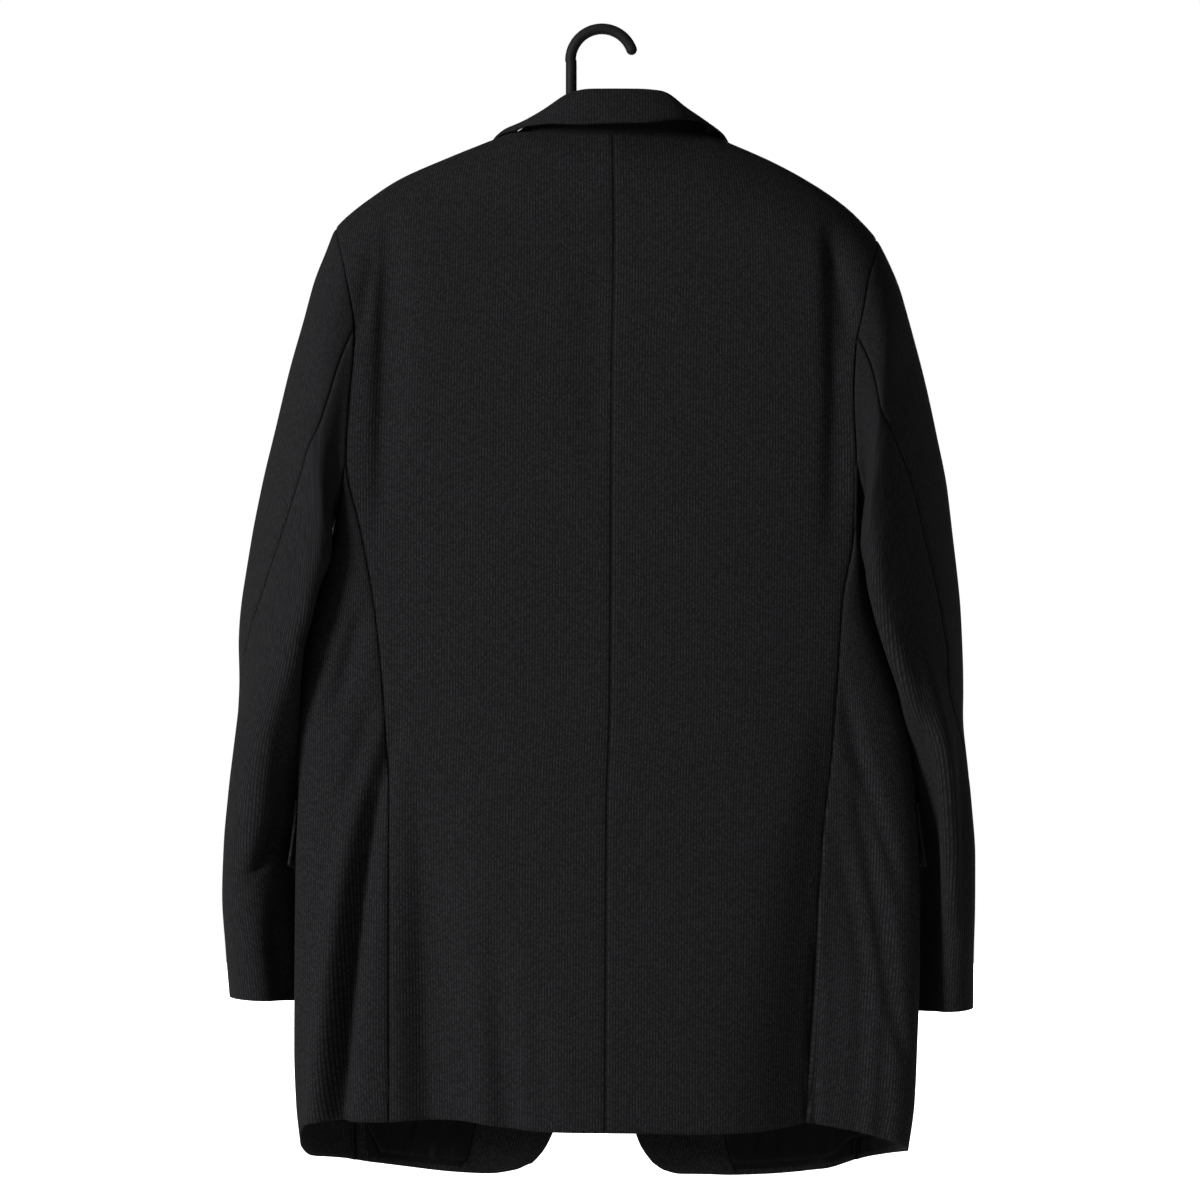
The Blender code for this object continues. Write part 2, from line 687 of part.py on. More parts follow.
def laid_sheet(name, points, normals, row, column, gap, wall, finish):
    """A sheet laid on a panel: gap clear of it, on the side that a positive wall points to."""
    row, column = np.broadcast_arrays(row, column)
    base, normal = sample(points, row, column), unit(sample(normals, row, column))
    gap = np.broadcast_to(gap, row.shape)[..., None]
    way = np.sign(wall)
    return wall_object(name, base + normal * (way * gap + wall), base + normal * way * gap, finish)


# The lapel's outer edge, as a share of the way from the roll line to the armhole.
LAPEL_EDGE = table(
    "row share", (3.4, 0.57), (5, 0.56), (7, 0.53), (9, 0.44), (11, 0.27), (12.3, 0.10), (13, 0.03)
)
GORGE_ROW = 2.62
GORGE_SLOPE = 0.21
LAPEL_WALL = 2.0
LAPEL_REST = 1.6
LAPEL_ROLL = 3.0
LAPEL_ROLL_SPAN = (0.15, 0.95)
LAPEL_END_ROW = BREAK_ROW - 0.1
LAPEL_GRID = (6, 12)
FACING_COLUMN = 5
FACING_TOP_ROW = BREAK_ROW + 0.2
LINING_TOP_ROW = ARM_ROW + 1.0
LINING_SIDE_COLUMN = 0.2
EDGE_INSET = 0.02
INSIDE_GAP = 0.5
HEM_STRIP_ROWS = 0.2
VENT_TOP_ROW = 16.67
VENT_COLUMNS = 2.6
FLAP_ROWS = (15.7, 17.25)
FLAP_COLUMNS = (0.1, 6.4)
FLAP_WALL = 2.5
FLAP_REST = 0.7
FLAP_FLARE = 4.0
FLAP_CLING = 0.7
FLAP_FREE_COLUMNS = (0.5, 3.0)
BUTTON_ROWS = (13.4, 16.4)
BUTTON_COLUMN = 7.43
BUTTON_SIDES = 16
BUTTON_REST = 0.5
BUTTON_PROFILE = ((8.5, 0.0), (10.0, 1.0), (10.0, 2.8), (9.2, 3.6), (7.6, 3.4), (7.0, 2.6))


def across_to_column(across):
    """Column of the front panel at a share of the way from its inner edge to its outer one."""
    share = mix(COLUMN_SHARE[NECK_COLUMN], 1.0, across)
    return BACK_COLUMN - np.interp(share, COLUMN_SHARE, np.arange(BACK_COLUMN + 1))


def make_lapels(skin, normals):
    for side in SIDES:
        key = "front_" + side
        u, v = np.meshgrid(*(np.linspace(0, 1, count) for count in LAPEL_GRID))
        widest = across_to_column(LAPEL_EDGE["share"][0])
        top_row = GORGE_ROW + GORGE_SLOPE * (FRONT_COLUMNS - widest) * u
        row = mix(top_row, LAPEL_END_ROW, v)
        column = across_to_column(u * follow(LAPEL_EDGE["row"], LAPEL_EDGE["share"], row))
        roll = LAPEL_ROLL * np.sin(np.pi * u) * np.sin(np.pi * mix(*LAPEL_ROLL_SPAN, v))
        column = np.minimum(column, FRONT_COLUMNS - EDGE_INSET / 10)
        gap = LAPEL_REST + roll
        laid_sheet("lapel_" + side, skin[key], normals[key], row, column, gap, LAPEL_WALL, "wool")


def make_inside(skin, normals, lining_side):
    """Facings and linings inside the fronts, and the vent's underlap inside the left back."""
    for side in SIDES:
        key = "front_" + side
        rows = steps(FACING_TOP_ROW, HEM_ROW - EDGE_INSET)[:, None]
        columns = steps(FACING_COLUMN + EDGE_INSET, FRONT_COLUMNS - EDGE_INSET)[None, :]
        inner, outward = lining_side[key], normals[key]
        laid_sheet("facing_" + side, inner, outward, rows, columns, INSIDE_GAP, -LINING_WALL, "wool")
        inner, outward = front_belt(side, lining_side), front_belt(side, normals)
        rows = steps(LINING_TOP_ROW, HEM_ROW - HEM_STRIP_ROWS)[:, None] - ARM_ROW
        columns = steps(LINING_SIDE_COLUMN, SIDE_COLUMNS // 2 + FACING_COLUMN - EDGE_INSET)[None, :]
        laid_sheet("lining_front_" + side, inner, outward, rows, columns, INSIDE_GAP, -LINING_WALL, "satin")
    rows = steps(VENT_TOP_ROW, HEM_ROW - EDGE_INSET)[:, None]
    columns = steps(EDGE_INSET, VENT_COLUMNS)[None, :]
    inner, outward = lining_side["back_left"], normals["back_left"]
    laid_sheet("vent_underlap", inner, outward, rows, columns, SEAM_GAP, -WALL, "wool")


def front_belt(side, values):
    """One grid below the underarm: the front half of the side panel, then the front panel."""
    half = SIDE_COLUMNS // 2
    return np.concatenate([values["side_" + side][:, half:-1], values["front_" + side][ARM_ROW:]], axis=1)


def make_flaps(skin, normals):
    for side in SIDES:
        rows = steps(*FLAP_ROWS)[:, None] - ARM_ROW
        v = (rows - rows[0]) / (rows[-1] - rows[0])
        columns = steps(*FLAP_COLUMNS)[None, :]
        flare = FLAP_REST + FLAP_FLARE * v**2 * (1 - FLAP_CLING * ease(columns, *FLAP_FREE_COLUMNS))
        belt, outward = front_belt(side, skin), front_belt(side, normals)
        laid_sheet("flap_" + side, belt, outward, rows, columns, flare, FLAP_WALL, "wool")


# The collar: its roll line and the leaf's outer edge, by place along the neckline (0 = centre back,
# NECK_COLUMN = shoulder), and how far down and across the front panel the leaf's front part reaches.
COLLAR = table(
    "place roll_reach roll_depth roll_drop edge_reach edge_depth edge_drop",
    (0, 0, 43, 46, 0, 68, 78.5),
    (1, 20, 42, 46, 28, 66, 78.5),
    (2, 39, 36, 47.5, 55, 55, 78),
    (3, 55.5, 23, 61, 72, 34, 77),
    (3.5, 65, 13, 68, 79.5, 26, 79),
    (4, 75, 1, 74.5, 88, 8, 79.8),
)
LEAF_FRONT = table(
    "place roll_row edge_row edge_column",
    (4, 0.0, 0.0, 7.3),
    (5, 0.6, 0.75, 6.9),
    (6, 1.3, 1.6, 6.45),
    (7, 2.0, 2.5, 6.0),
    (8, 2.56, 3.0, 5.7),
)
COLLAR_WALL = 2.2
NECK_MIDDLE_DEPTH = -10.0
SEAM_RISE = 0.5
STAND_CLEAR = 1.5
STAND_END_DIP = 3.0
STAND_DIP_FROM = 2.0
STAND_STEPS = 4
# The leaf across its width. Hanging at the back, its sections start inside the roll: how far towards
# the neck and how far up from the roll line, then how far along from the roll's outer side to the edge.
ROLL_SECTIONS = ((5.0, -2.2), (2.0, 0.0), (-4.2, -1.2))
HANG_SHARES = (0.35, 0.7, 1.0)
LEAF_BULGE = 2.0
# Lying on the front: share of the way from the roll line to the edge, and height off the cloth.
LIE_SECTIONS = ((0.0, 1.6), (0.0, 2.2), (0.14, 3.0), (0.42, 4.0), (0.72, 3.4), (1.0, 1.8))
LIE_TUCK = 2.0
LIE_FROM, LIE_WHOLLY = 3.3, 4.6
STAND_PLACES = np.linspace(0, 3.6, 10)
LEAF_PLACES = np.concatenate([np.linspace(0, NECK_COLUMN, 9), np.linspace(4.5, 8, 8)])


def collar_line(side, kind, place):
    at = [follow(COLLAR["place"], COLLAR[f"{kind}_{name}"], place) for name in ("reach", "depth", "drop")]
    return placed(side, at[0], at[1], at[2], 0.0)


def neck_wards(side, place):
    """Level direction from the collar towards the middle of the neck."""
    line = collar_line(side, "roll", np.minimum(place, NECK_COLUMN))
    middle = np.array([CENTRE, NECK_MIDDLE_DEPTH, 0.0])
    return unit((middle - line) * np.array([1.0, 1.0, 0.0]))


def both_sides(left, right):
    """One grid round the neck: the right half reversed, then the left."""
    return np.concatenate([right[:0:-1], left])


def make_collar(skin, normals):
    stand_outer, stand_inner, leaf = {}, {}, {}
    up = np.array([0.0, 0.0, 1.0])
    for side in SIDES:
        place = STAND_PLACES
        seam = sample(skin["back_" + side], 0 * place, place) + up * SEAM_RISE
        top = collar_line(side, "roll", place) - up * (COLLAR_WALL + STAND_CLEAR)
        top = top - up * STAND_END_DIP * ease(place, STAND_DIP_FROM, STAND_PLACES[-1])[:, None]
        share = np.linspace(0, 1, STAND_STEPS)[None, :, None]
        outer = mix(seam[:, None], top[:, None], share)
        stand_outer[side] = outer
        stand_inner[side] = outer + neck_wards(side, place)[:, None] * COLLAR_WALL
        leaf[side] = leaf_grid(side, skin["front_" + side], normals["front_" + side])
    outer, inner = (both_sides(faces["left"], faces["right"]) for faces in (stand_outer, stand_inner))
    wall_object("undercollar", outer, inner, "felt")
    points = both_sides(leaf["left"], leaf["right"])
    normal = grid_normals(points)
    middle = points.shape[0] // 2
    if normal[middle, 3] @ np.array([0.0, 1.0, 0.5]) < 0:
        normal = -normal
    wall_object("top_collar", points, points - normal * COLLAR_WALL, "wool")


def leaf_grid(side, front, normals):
    """Outer points of the collar's leaf on one side: from inside the roll, over it and down to the edge."""
    place = LEAF_PLACES
    up = np.array([0.0, 0.0, 1.0])
    wards = neck_wards(side, place)
    crown = collar_line(side, "roll", place)
    rim = collar_line(side, "edge", place)
    hang = [crown + wards * inward + up * rise for inward, rise in ROLL_SECTIONS]
    slope = np.abs(unit(rim - crown))
    bulge_way = np.stack([0 * slope[:, 0], slope[:, 1], slope[:, 0]], axis=1)
    for share in HANG_SHARES:
        bulge = LEAF_BULGE * math.sin(math.pi * share) * bulge_way
        hang.append(mix(hang[len(ROLL_SECTIONS) - 1], rim, share) + bulge)
    front_place = np.maximum(place, NECK_COLUMN)
    roll_row, edge_row, edge_column = (
        follow(LEAF_FRONT["place"], LEAF_FRONT[name], front_place)
        for name in ("roll_row", "edge_row", "edge_column")
    )
    lie = []
    for number, (share, rise) in enumerate(LIE_SECTIONS):
        row = mix(roll_row, edge_row, share)
        column = mix(FRONT_COLUMNS - EDGE_INSET / 2, edge_column, share)
        base, normal = sample(front, row, column), unit(sample(normals, row, column))
        tuck = wards * LIE_TUCK if number == 0 else 0.0
        lie.append(base + normal * (COLLAR_WALL + rise) + tuck)
    blend = ease(place, LIE_FROM, LIE_WHOLLY)[:, None, None]
    return mix(np.stack(hang, axis=1), np.stack(lie, axis=1), blend)


def turned_points(profile, sides, centre, axis):
    """Rings of a turned shape: profile of (radius, height) about an axis."""
    axis = unit(np.asarray(axis, float))
    first = unit(np.cross(axis, [0.0, 0.0, 1.0]))
    second = np.cross(axis, first)
    angle = np.arange(sides) * 2 * np.pi / sides
    circle = np.cos(angle)[:, None] * first + np.sin(angle)[:, None] * second
    return [centre + axis * height + circle * radius for radius, height in profile]


def closed_rings(name, rings, finish):
    """A solid lofted through rings of points, closed with a fan at each end."""
    count = len(rings[0])
    points = np.concatenate(list(rings) + [rings[0].mean(axis=0)[None], rings[-1].mean(axis=0)[None]])
    start, end = len(points) - 2, len(points) - 1
    faces = []
    for i in range(len(rings) - 1):
        for j in range(count):
            a, b = i * count + j, i * count + (j + 1) % count
            faces += [(a, b, b + count), (a, b + count, a + count)]
    last = (len(rings) - 1) * count
    for j in range(count):
        k = (j + 1) % count
        faces += [(start, k, j), (end, last + j, last + k)]
    corners = points[np.array(faces)]
    if np.linalg.det(corners - points.mean(axis=0)).sum() < 0:
        faces = [(a, c, b) for a, b, c in faces]
    return add_object(name, points, faces, finish)


def make_buttons(skin, normals):
    for number, row in enumerate(BUTTON_ROWS):
        row, column = np.array(row), np.array(BUTTON_COLUMN)
        centre = sample(skin["front_left"], row, column)
        axis = unit(sample(normals["front_left"], row, column))
        rings = turned_points(BUTTON_PROFILE, BUTTON_SIDES, centre + axis * BUTTON_REST, axis)
        closed_rings(f"button_{number + 1}", rings, "horn")


# The hanger: a round-wired hook and arched arms that widen towards their ends.
HOOK_WIRE = 9.0
HOOK_INNER = 21.3
HOOK_SIDES = 12
HOOK_TIP_TURN = 160.0
HOOK_ARC_STEPS = 15
HOOK_TIP_BENDS = (80.0, 55.0, 28.0)
SHAFT_REACH = 25.2
SHAFT_DROPS = (30.0, 42.0, 54.0, 67.6)
ARM_SECTIONS = 21
ARM_SIDES = 14
ARM_REACH = 204.0
ARM_CLEAR = 6.2
ARM_MEETS_RIDGE = (50.0, 80.0)
ARM_TOP = table("reach drop", (0, 66), (25, 67.5), (50, 74), (80, 87.5))
ARM_SIZE = table("reach half_high half_deep", (0, 8, 7), (60, 8, 8), (130, 7, 11), (185, 7, 13), (204, 6, 11))


def make_hook():
    """The hook in one sweep: rounded tip, arc over the crown and shaft down into the arms."""
    middle = HOOK_INNER + HOOK_WIRE / 2
    centre = np.array([0.0, 0.0, -HOOK_INNER])
    turn = np.radians(np.linspace(HOOK_TIP_TURN, 0.0, HOOK_ARC_STEPS))
    arc = centre + middle * np.stack([np.cos(turn), 0 * turn, np.sin(turn)], axis=1)
    drops = np.array(SHAFT_DROPS)
    shaft = np.stack([np.full(len(drops), SHAFT_REACH), 0 * drops, -drops], axis=1)
    path = np.concatenate([arc, shaft])
    along = unit(np.gradient(path, axis=0))
    side = np.array([0.0, 1.0, 0.0])
    angle = np.arange(HOOK_SIDES) * 2 * np.pi / HOOK_SIDES
    rings = []
    back = -along[0] * HOOK_WIRE / 2
    for bend in HOOK_TIP_BENDS:
        size = math.cos(math.radians(bend)) * HOOK_WIRE / 2
        rings.append(tube_ring(path[0] + back * math.sin(math.radians(bend)), along[0], side, size, angle))
    for point, way in zip(path, along):
        rings.append(tube_ring(point, way, side, HOOK_WIRE / 2, angle))
    closed_rings("hanger_hook", rings, "moulding")


def tube_ring(centre, way, side, radius, angle):
    other = unit(np.cross(way, side))
    return centre + radius * (np.cos(angle)[:, None] * side + np.sin(angle)[:, None] * other)


def make_arms():
    rings = []
    angle = np.arange(ARM_SIDES) * 2 * np.pi / ARM_SIDES
    for place in np.linspace(-ARM_REACH, ARM_REACH, ARM_SECTIONS):
        side, reach = ("left", place) if place > 0 else ("right", -place)
        under_ridge = float(edge(SHOULDER, side, reach)) + ARM_CLEAR
        middle_top = float(follow(ARM_TOP["reach"], ARM_TOP["drop"], reach))
        top = mix(middle_top, under_ridge, float(ease(reach, *ARM_MEETS_RIDGE)))
        high = float(follow(ARM_SIZE["reach"], ARM_SIZE["half_high"], reach))
        deep = float(follow(ARM_SIZE["reach"], ARM_SIZE["half_deep"], reach))
        ring = np.stack([0 * angle, deep * np.cos(angle), high * np.sin(angle)], axis=1)
        rings.append(ring + np.array([CENTRE + place, 0.0, -(top + high)]))
    closed_rings("hanger_arms", rings, "moulding")


def main():
    for obj in list(bpy.data.objects):
        bpy.data.objects.remove(obj)
    skin, normals, lining_side = build_skin()
    make_panels(skin, normals, lining_side)
    make_lapels(skin, normals)
    make_inside(skin, normals, lining_side)
    make_flaps(skin, normals)
    make_collar(skin, normals)
    make_buttons(skin, normals)
    make_hook()
    make_arms()


main()
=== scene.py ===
import json
import math

import bpy
import numpy as np
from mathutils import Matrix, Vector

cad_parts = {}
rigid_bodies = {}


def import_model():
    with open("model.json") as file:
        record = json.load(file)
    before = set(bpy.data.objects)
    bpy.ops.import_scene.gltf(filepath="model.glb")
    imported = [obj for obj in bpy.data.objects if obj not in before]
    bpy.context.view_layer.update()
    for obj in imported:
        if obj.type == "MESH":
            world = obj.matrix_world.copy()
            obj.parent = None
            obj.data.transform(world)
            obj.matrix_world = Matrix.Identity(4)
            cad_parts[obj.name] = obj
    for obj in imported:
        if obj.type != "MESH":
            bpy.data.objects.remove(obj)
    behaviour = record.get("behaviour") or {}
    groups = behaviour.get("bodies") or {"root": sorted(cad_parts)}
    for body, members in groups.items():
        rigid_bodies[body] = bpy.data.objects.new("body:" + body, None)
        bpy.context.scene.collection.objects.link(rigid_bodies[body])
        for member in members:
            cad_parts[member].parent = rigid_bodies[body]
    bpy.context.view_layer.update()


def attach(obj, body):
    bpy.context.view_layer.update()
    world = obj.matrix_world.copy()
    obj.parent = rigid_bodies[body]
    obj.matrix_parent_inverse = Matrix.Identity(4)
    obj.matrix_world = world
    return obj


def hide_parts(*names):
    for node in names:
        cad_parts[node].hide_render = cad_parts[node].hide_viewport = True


# Looks of a dark tailored blazer on a moulded hanger, seen from behind.
# Sizes are in millimetres: reach is sideways from the centre line, drop is below the hook's crown,
# depth is towards the back (+Y). Rows run from shoulder (0) past the underarm (9) to the hem (24).

for leftover in list(bpy.data.objects):
    bpy.data.objects.remove(leftover)
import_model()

mm = 0.001
sides = {"left": 1.0, "right": -1.0}
centreX = -3.3
upWay, backWay = np.array([0.0, 0.0, 1.0]), np.array([0.0, 1.0, 0.0])
farAway = 99.0
armRow, hemRow, neckColumn, backColumn, sideColumn = 9, 24, 4, 12, 6
frontColumn = backColumn - neckColumn
columnShare = (0.0, 0.09, 0.18, 0.27, 0.36, 0.45, 0.54, 0.63, 0.71, 0.785, 0.85, 0.92, 1.0)
ringCount, ringPlaces, hindSeam, frontSeam = 16, 24, 5, 17

detail = 2


def table(names, *rows):
    return dict(zip(names.split(), np.array(rows, float).T))


def follow(places, values, at):
    # smooth curve through a table that never swings past its rows
    at = np.clip(at, places[0], places[-1])
    step = np.diff(places)
    slope = np.diff(values) / step
    tangent = np.concatenate([slope[:1], np.zeros(len(slope) - 1), slope[-1:]])
    sameWay = slope[:-1] * slope[1:] > 0
    total = np.where(sameWay, slope[:-1] + slope[1:], 1.0)
    tangent[1:-1] = np.where(sameWay, 2 * slope[:-1] * slope[1:] / total, 0.0)
    i = np.clip(np.searchsorted(places, at, side="right") - 1, 0, len(step) - 1)
    t = (at - places[i]) / step[i]
    start, end = values[i], values[i + 1]
    riseIn, riseOut = tangent[i] * step[i], tangent[i + 1] * step[i]
    return (
        start * (2 * t**3 - 3 * t**2 + 1)
        + end * (3 * t**2 - 2 * t**3)
        + riseIn * (t**3 - 2 * t**2 + t)
        + riseOut * (t**3 - t**2)
    )


def mix(first, second, share):
    return first + (second - first) * share


def ease(value, start, end):
    t = np.clip((value - start) / (end - start), 0.0, 1.0)
    return t * t * (3 - 2 * t)


def unit(vectors):
    return vectors / np.maximum(np.linalg.norm(vectors, axis=-1, keepdims=True), 1e-9)


# The body's form
shoulder = table(
    "reach left right", (0, 60, 60), (80, 80, 81), (90, 84, 85.5), (135, 102.5, 105), (170, 118.5, 124),
    (196, 136, 142), (212, 149, 157), (222, 159, 168),
)
centreBack = table("drop x", (60, -8.5), (180, -9.8), (275, -8.2), (546, -6.6), (632, -4.0), (930, -2.5))
bodyDepth = table(
    "drop centreBack seamBack side seamFront centreFront",
    (80, 62, 60, 5, -54, -62), (160, 70, 62, 5, -56, -76), (250, 76, 64, 6, -56, -88),
    (350, 75, 60, 8, -48, -92), (450, 70, 52, 14, -46, -88), (560, 65, 48, 18, -50, -84),
    (700, 66, 49, 17, -56, -82), (900, 72, 50, 12, -58, -76),
)
backEdge = table(
    "drop left right", (159, 222, 222), (168, 219.5, 222), (200, 211, 214), (238, 204, 206), (256, 203.5, 202),
    (300, 207, 200), (351, 210, 202), (410, 198, 200.5), (465, 188.5, 192), (537, 181, 187.5),
    (590, 178, 184), (652, 176.5, 178), (745, 176, 173), (888, 176, 166),
)
sideEdge = table(
    "drop left right", (382, 217, 206), (430, 228, 211), (465, 239, 217), (501, 247, 228), (546, 250, 241),
    (614, 251, 251), (680, 253.5, 255.5), (760, 254.5, 256.5), (830, 255, 254.5), (875, 253.5, 252.5),
    (920, 248, 246.5),
)
frontOuter = table(
    "drop left right", (159, 222, 222), (168, 218, 222), (200, 207, 208), (250, 197, 197), (300, 192, 191),
    (345, 193, 190), (378, 200, 194), (450, 204, 200), (560, 208, 206), (700, 211, 211), (930, 208, 208),
)
frontEdge = table(
    "drop left right", (80, 79.92, 79.92), (81, 79.7, 79.92), (300, 30, 30), (520, -18, -18), (610, -18, -18),
    (690, -14, -15), (780, 2, -4), (850, 23, 11), (908, 45, 25), (918, 50, 29), (925, 55, 33.5), (932, 62, 39),
)
backHem = table(
    "reach left right", (0, 893.5, 893.5), (45, 893, 894), (82, 890, 895), (125, 885, 894.5),
    (152, 885.5, 892.5), (176, 887, 889.5),
)
sideTop = table("column drop", (0, 351), (1, 371), (2, 388), (3, 397), (4, 396), (5, 389), (6, 378))
sideHem = table(
    "column left right", (0, 887, 889.5), (1, 887, 897), (2, 890, 906), (3, 910, 914), (4, 922, 919),
    (5, 926, 924), (6, 929, 929),
)
frontHem = table(
    "reach left right", (39, 933.5, 933.5), (48, 933.5, 939.5), (62, 934.5, 943), (75, 939.5, 943.2),
    (97, 942.5, 943.2), (130, 940, 942.5), (182, 933.5, 937), (208, 929, 929),
)
underFront = table("drop step", (300, 0), (400, 5.5), (450, 9), (530, 9), (600, 5.4), (940, 5.4))
bodyShape = {
    "neckBackDrop": 86.0, "backFall": 75.0, "frontFall": 100.0, "neckFall": 45.0, "neckReach": (-150.0, -70.0),
    "roundness": 2.4, "crowding": 1.35, "edgeLower": 10, "underReach": (-80.0, -28.0),
}


def read(line, name, at):
    # a table's named column at places along its first one
    return follow(line[next(iter(line))], line[name], at)


def depthAt(column, drop):
    return read(bodyDepth, column, drop)


def crowded(row):
    # rows lie closer together near the shoulder
    return (np.minimum(row, armRow) / armRow) ** bodyShape["crowding"]


def down(row, top, middle, bottom):
    above = mix(top, middle, crowded(row))
    below = mix(middle, bottom, np.maximum(row - armRow, 0.0) / (hemRow - armRow))
    return np.where(row <= armRow, above, below)


def rounded(face, side, reach, drop):
    # how far the cloth has turned from the shoulder ridge (0) to the flat of the body (1)
    neck = bodyShape["neckFall"] * ease(-reach, *bodyShape["neckReach"]) if face == "front" else 0.0
    fallen = drop - read(shoulder, side, np.maximum(reach, 0.0))
    turned = np.clip(fallen / (bodyShape[face + "Fall"] + neck), 0, 1)
    return np.sqrt(np.maximum(1 - (1 - turned) ** 2, 0.0))


tipReach = shoulder["reach"][-1]
neckHalf = columnShare[neckColumn] * tipReach


def topDrop(side, reach):
    atNeck = read(shoulder, side, neckHalf)
    neckline = mix(bodyShape["neckBackDrop"], atNeck, np.clip(reach / neckHalf, 0.0, 1.0) ** 2)
    return np.where(reach < neckHalf, neckline, read(shoulder, side, reach))


def placed(side, reach, depth, drop, share=1.0):
    centre = mix(read(centreBack, "x", drop), centreX, share)
    return np.stack(np.broadcast_arrays(centre + sides[side] * reach, depth, -drop), axis=-1)


def backPoint(side, row, column):
    share = np.interp(column, np.arange(backColumn + 1), columnShare)
    edgeDrop = down(row, read(shoulder, side, tipReach), sideTop["drop"][0], sideHem[side][0])
    reach = share * read(backEdge, side, edgeDrop)
    hem = read(backHem, side, share * backHem["reach"][-1])
    drop = down(row, topDrop(side, share * tipReach), sideTop["drop"][0], hem)
    flat = mix(depthAt("centreBack", drop), depthAt("seamBack", drop), share ** bodyShape["roundness"])
    return placed(side, reach, flat * rounded("back", side, reach, drop), drop, share)


def frontPoint(side, row, column):
    share = np.interp(backColumn - column, np.arange(backColumn + 1), columnShare)
    across = (share - columnShare[neckColumn]) / (1 - columnShare[neckColumn])
    seamMiddle, seamHem = sideTop["drop"][-1], sideHem[side][-1]
    edgeMiddle = seamMiddle + bodyShape["edgeLower"]
    innerDrop = down(row, read(shoulder, side, neckHalf), edgeMiddle, frontEdge["drop"][-1])
    outerDrop = down(row, read(shoulder, side, tipReach), seamMiddle, seamHem)
    outer = read(frontOuter, side, outerDrop)
    reach = mix(read(frontEdge, side, innerDrop), outer, across)
    hem = read(frontHem, side, mix(frontEdge[side][-1], read(frontOuter, side, seamHem), across))
    drop = down(row, read(shoulder, side, share * tipReach), mix(edgeMiddle, seamMiddle, across), hem)
    roundShare = np.clip(np.abs(reach) / outer, 0.0, 1.0) ** bodyShape["roundness"]
    flat = mix(depthAt("centreFront", drop), depthAt("seamFront", drop), roundShare)
    depth = flat * rounded("front", side, reach, drop)
    if side == "right":
        depth = depth + read(underFront, "step", drop) * ease(-reach, *bodyShape["underReach"])
    return placed(side, reach, depth, drop, mix(share, 1.0, crowded(row)))


def sidePoint(side, row, column):
    back, front = backPoint(side, row, backColumn + 0 * column), frontPoint(side, row, 0.0 * column)
    top = read(sideTop, "drop", column)
    drop = down(row, 0.0, top, read(sideHem, side, column))
    turn = np.pi * column / sideColumn
    seam = np.where((column <= sideColumn / 2)[..., None], back, front)
    seamReach = sides[side] * (seam[..., 0] - centreX)
    reach = seamReach + (read(sideEdge, side, drop) - seamReach) * np.sin(turn)
    depth = mix(depthAt("side", drop), seam[..., 1], np.abs(np.cos(turn)))
    return placed(side, reach, depth, drop)


# Sleeves: rings from the armhole (0) to the cuff (16)
sleeve = table(
    "ring outerDrop innerDrop depth halfDeep frontTurn",
    (0, 163, 399, 3, 62, 250), (1, 181, 403, 3, 64, 246), (2, 205, 408, 2, 67, 242), (3, 236, 414, 1, 70, 238),
    (4, 272, 421, 0, 73, 232), (5, 314, 430, -1, 76, 226), (6, 360, 442, -3, 77, 220), (7, 406, 457, -5, 77, 215),
    (8, 450, 479, -8, 76, 210), (9, 494, 508, -12, 74, 206), (10, 538, 543, -17, 72, 203),
    (11, 581, 583, -23, 70, 200), (12, 624, 625, -30, 67, 198), (13, 667, 668, -37, 64, 196),
    (14, 710, 711, -43, 61, 195), (15, 752, 754, -48, 58, 195), (16, 791, 794, -51, 56, 195),
)
sleeveSide = {
    "left": table(
        "ring outer inner hindTurn lean",
        (0, 222, 214, 75, 0), (1, 229, 219, 92, 0), (2, 239, 221, 91, -2), (3, 248, 224, 84, -6),
        (4, 258, 226, 74, -12), (5, 267, 228.6, 61, -17), (6, 275.5, 234.6, 48, -23),
        (7, 283, 243.3, 36, -25), (8, 290, 249.7, 22, -25), (9, 297, 254.8, 8, -21),
        (10, 301.5, 252.4, 0, -11), (11, 306, 248, -4, 1), (12, 310, 249, -8, 7),
        (13, 313.5, 252.5, -12, 9), (14, 315.5, 248, -14, 9), (15, 313.5, 246, -15, 8),
        (16, 310.5, 245, -15, 8),
    ),
    "right": table(
        "ring outer inner hindTurn lean",
        (0, 222, 207, 75, 0), (1, 231, 210.5, 88, 0), (2, 241, 212, 86, -3),
        (3, 249.5, 214, 78, -10), (4, 257, 215, 65, -19), (5, 264, 216.8, 51, -25),
        (6, 270, 223.2, 34, -30), (7, 275.5, 225.8, 26, -30), (8, 281, 231.6, 18, -29),
        (9, 286, 239.6, 14, -25), (10, 292, 245.8, 28, -16), (11, 296.5, 246.2, 26, 0),
        (12, 299.5, 249, 8, 7), (13, 302, 254, -6, 9), (14, 302.5, 253, -12, 9),
        (15, 302.5, 250.5, -15, 8), (16, 302.5, 249, -15, 8),
    ),
}
sleeveShape = {"cuffDrop": {"left": 0.0, "right": 9.0}, "fitRings": 5.0}


def armholePoint(side, place):
    # place counts back from the shoulder tip, under the arm and up the front
    back = backPoint(side, np.minimum(place, armRow), np.full_like(place, backColumn))
    under = sidePoint(side, np.full_like(place, armRow), np.clip(place - armRow, 0, sideColumn))
    front = frontPoint(side, np.clip(ringPlaces - place, 0, armRow), np.zeros_like(place))
    point = np.where((place <= armRow)[..., None], back, under)
    return np.where((place >= armRow + sideColumn)[..., None], front, point)


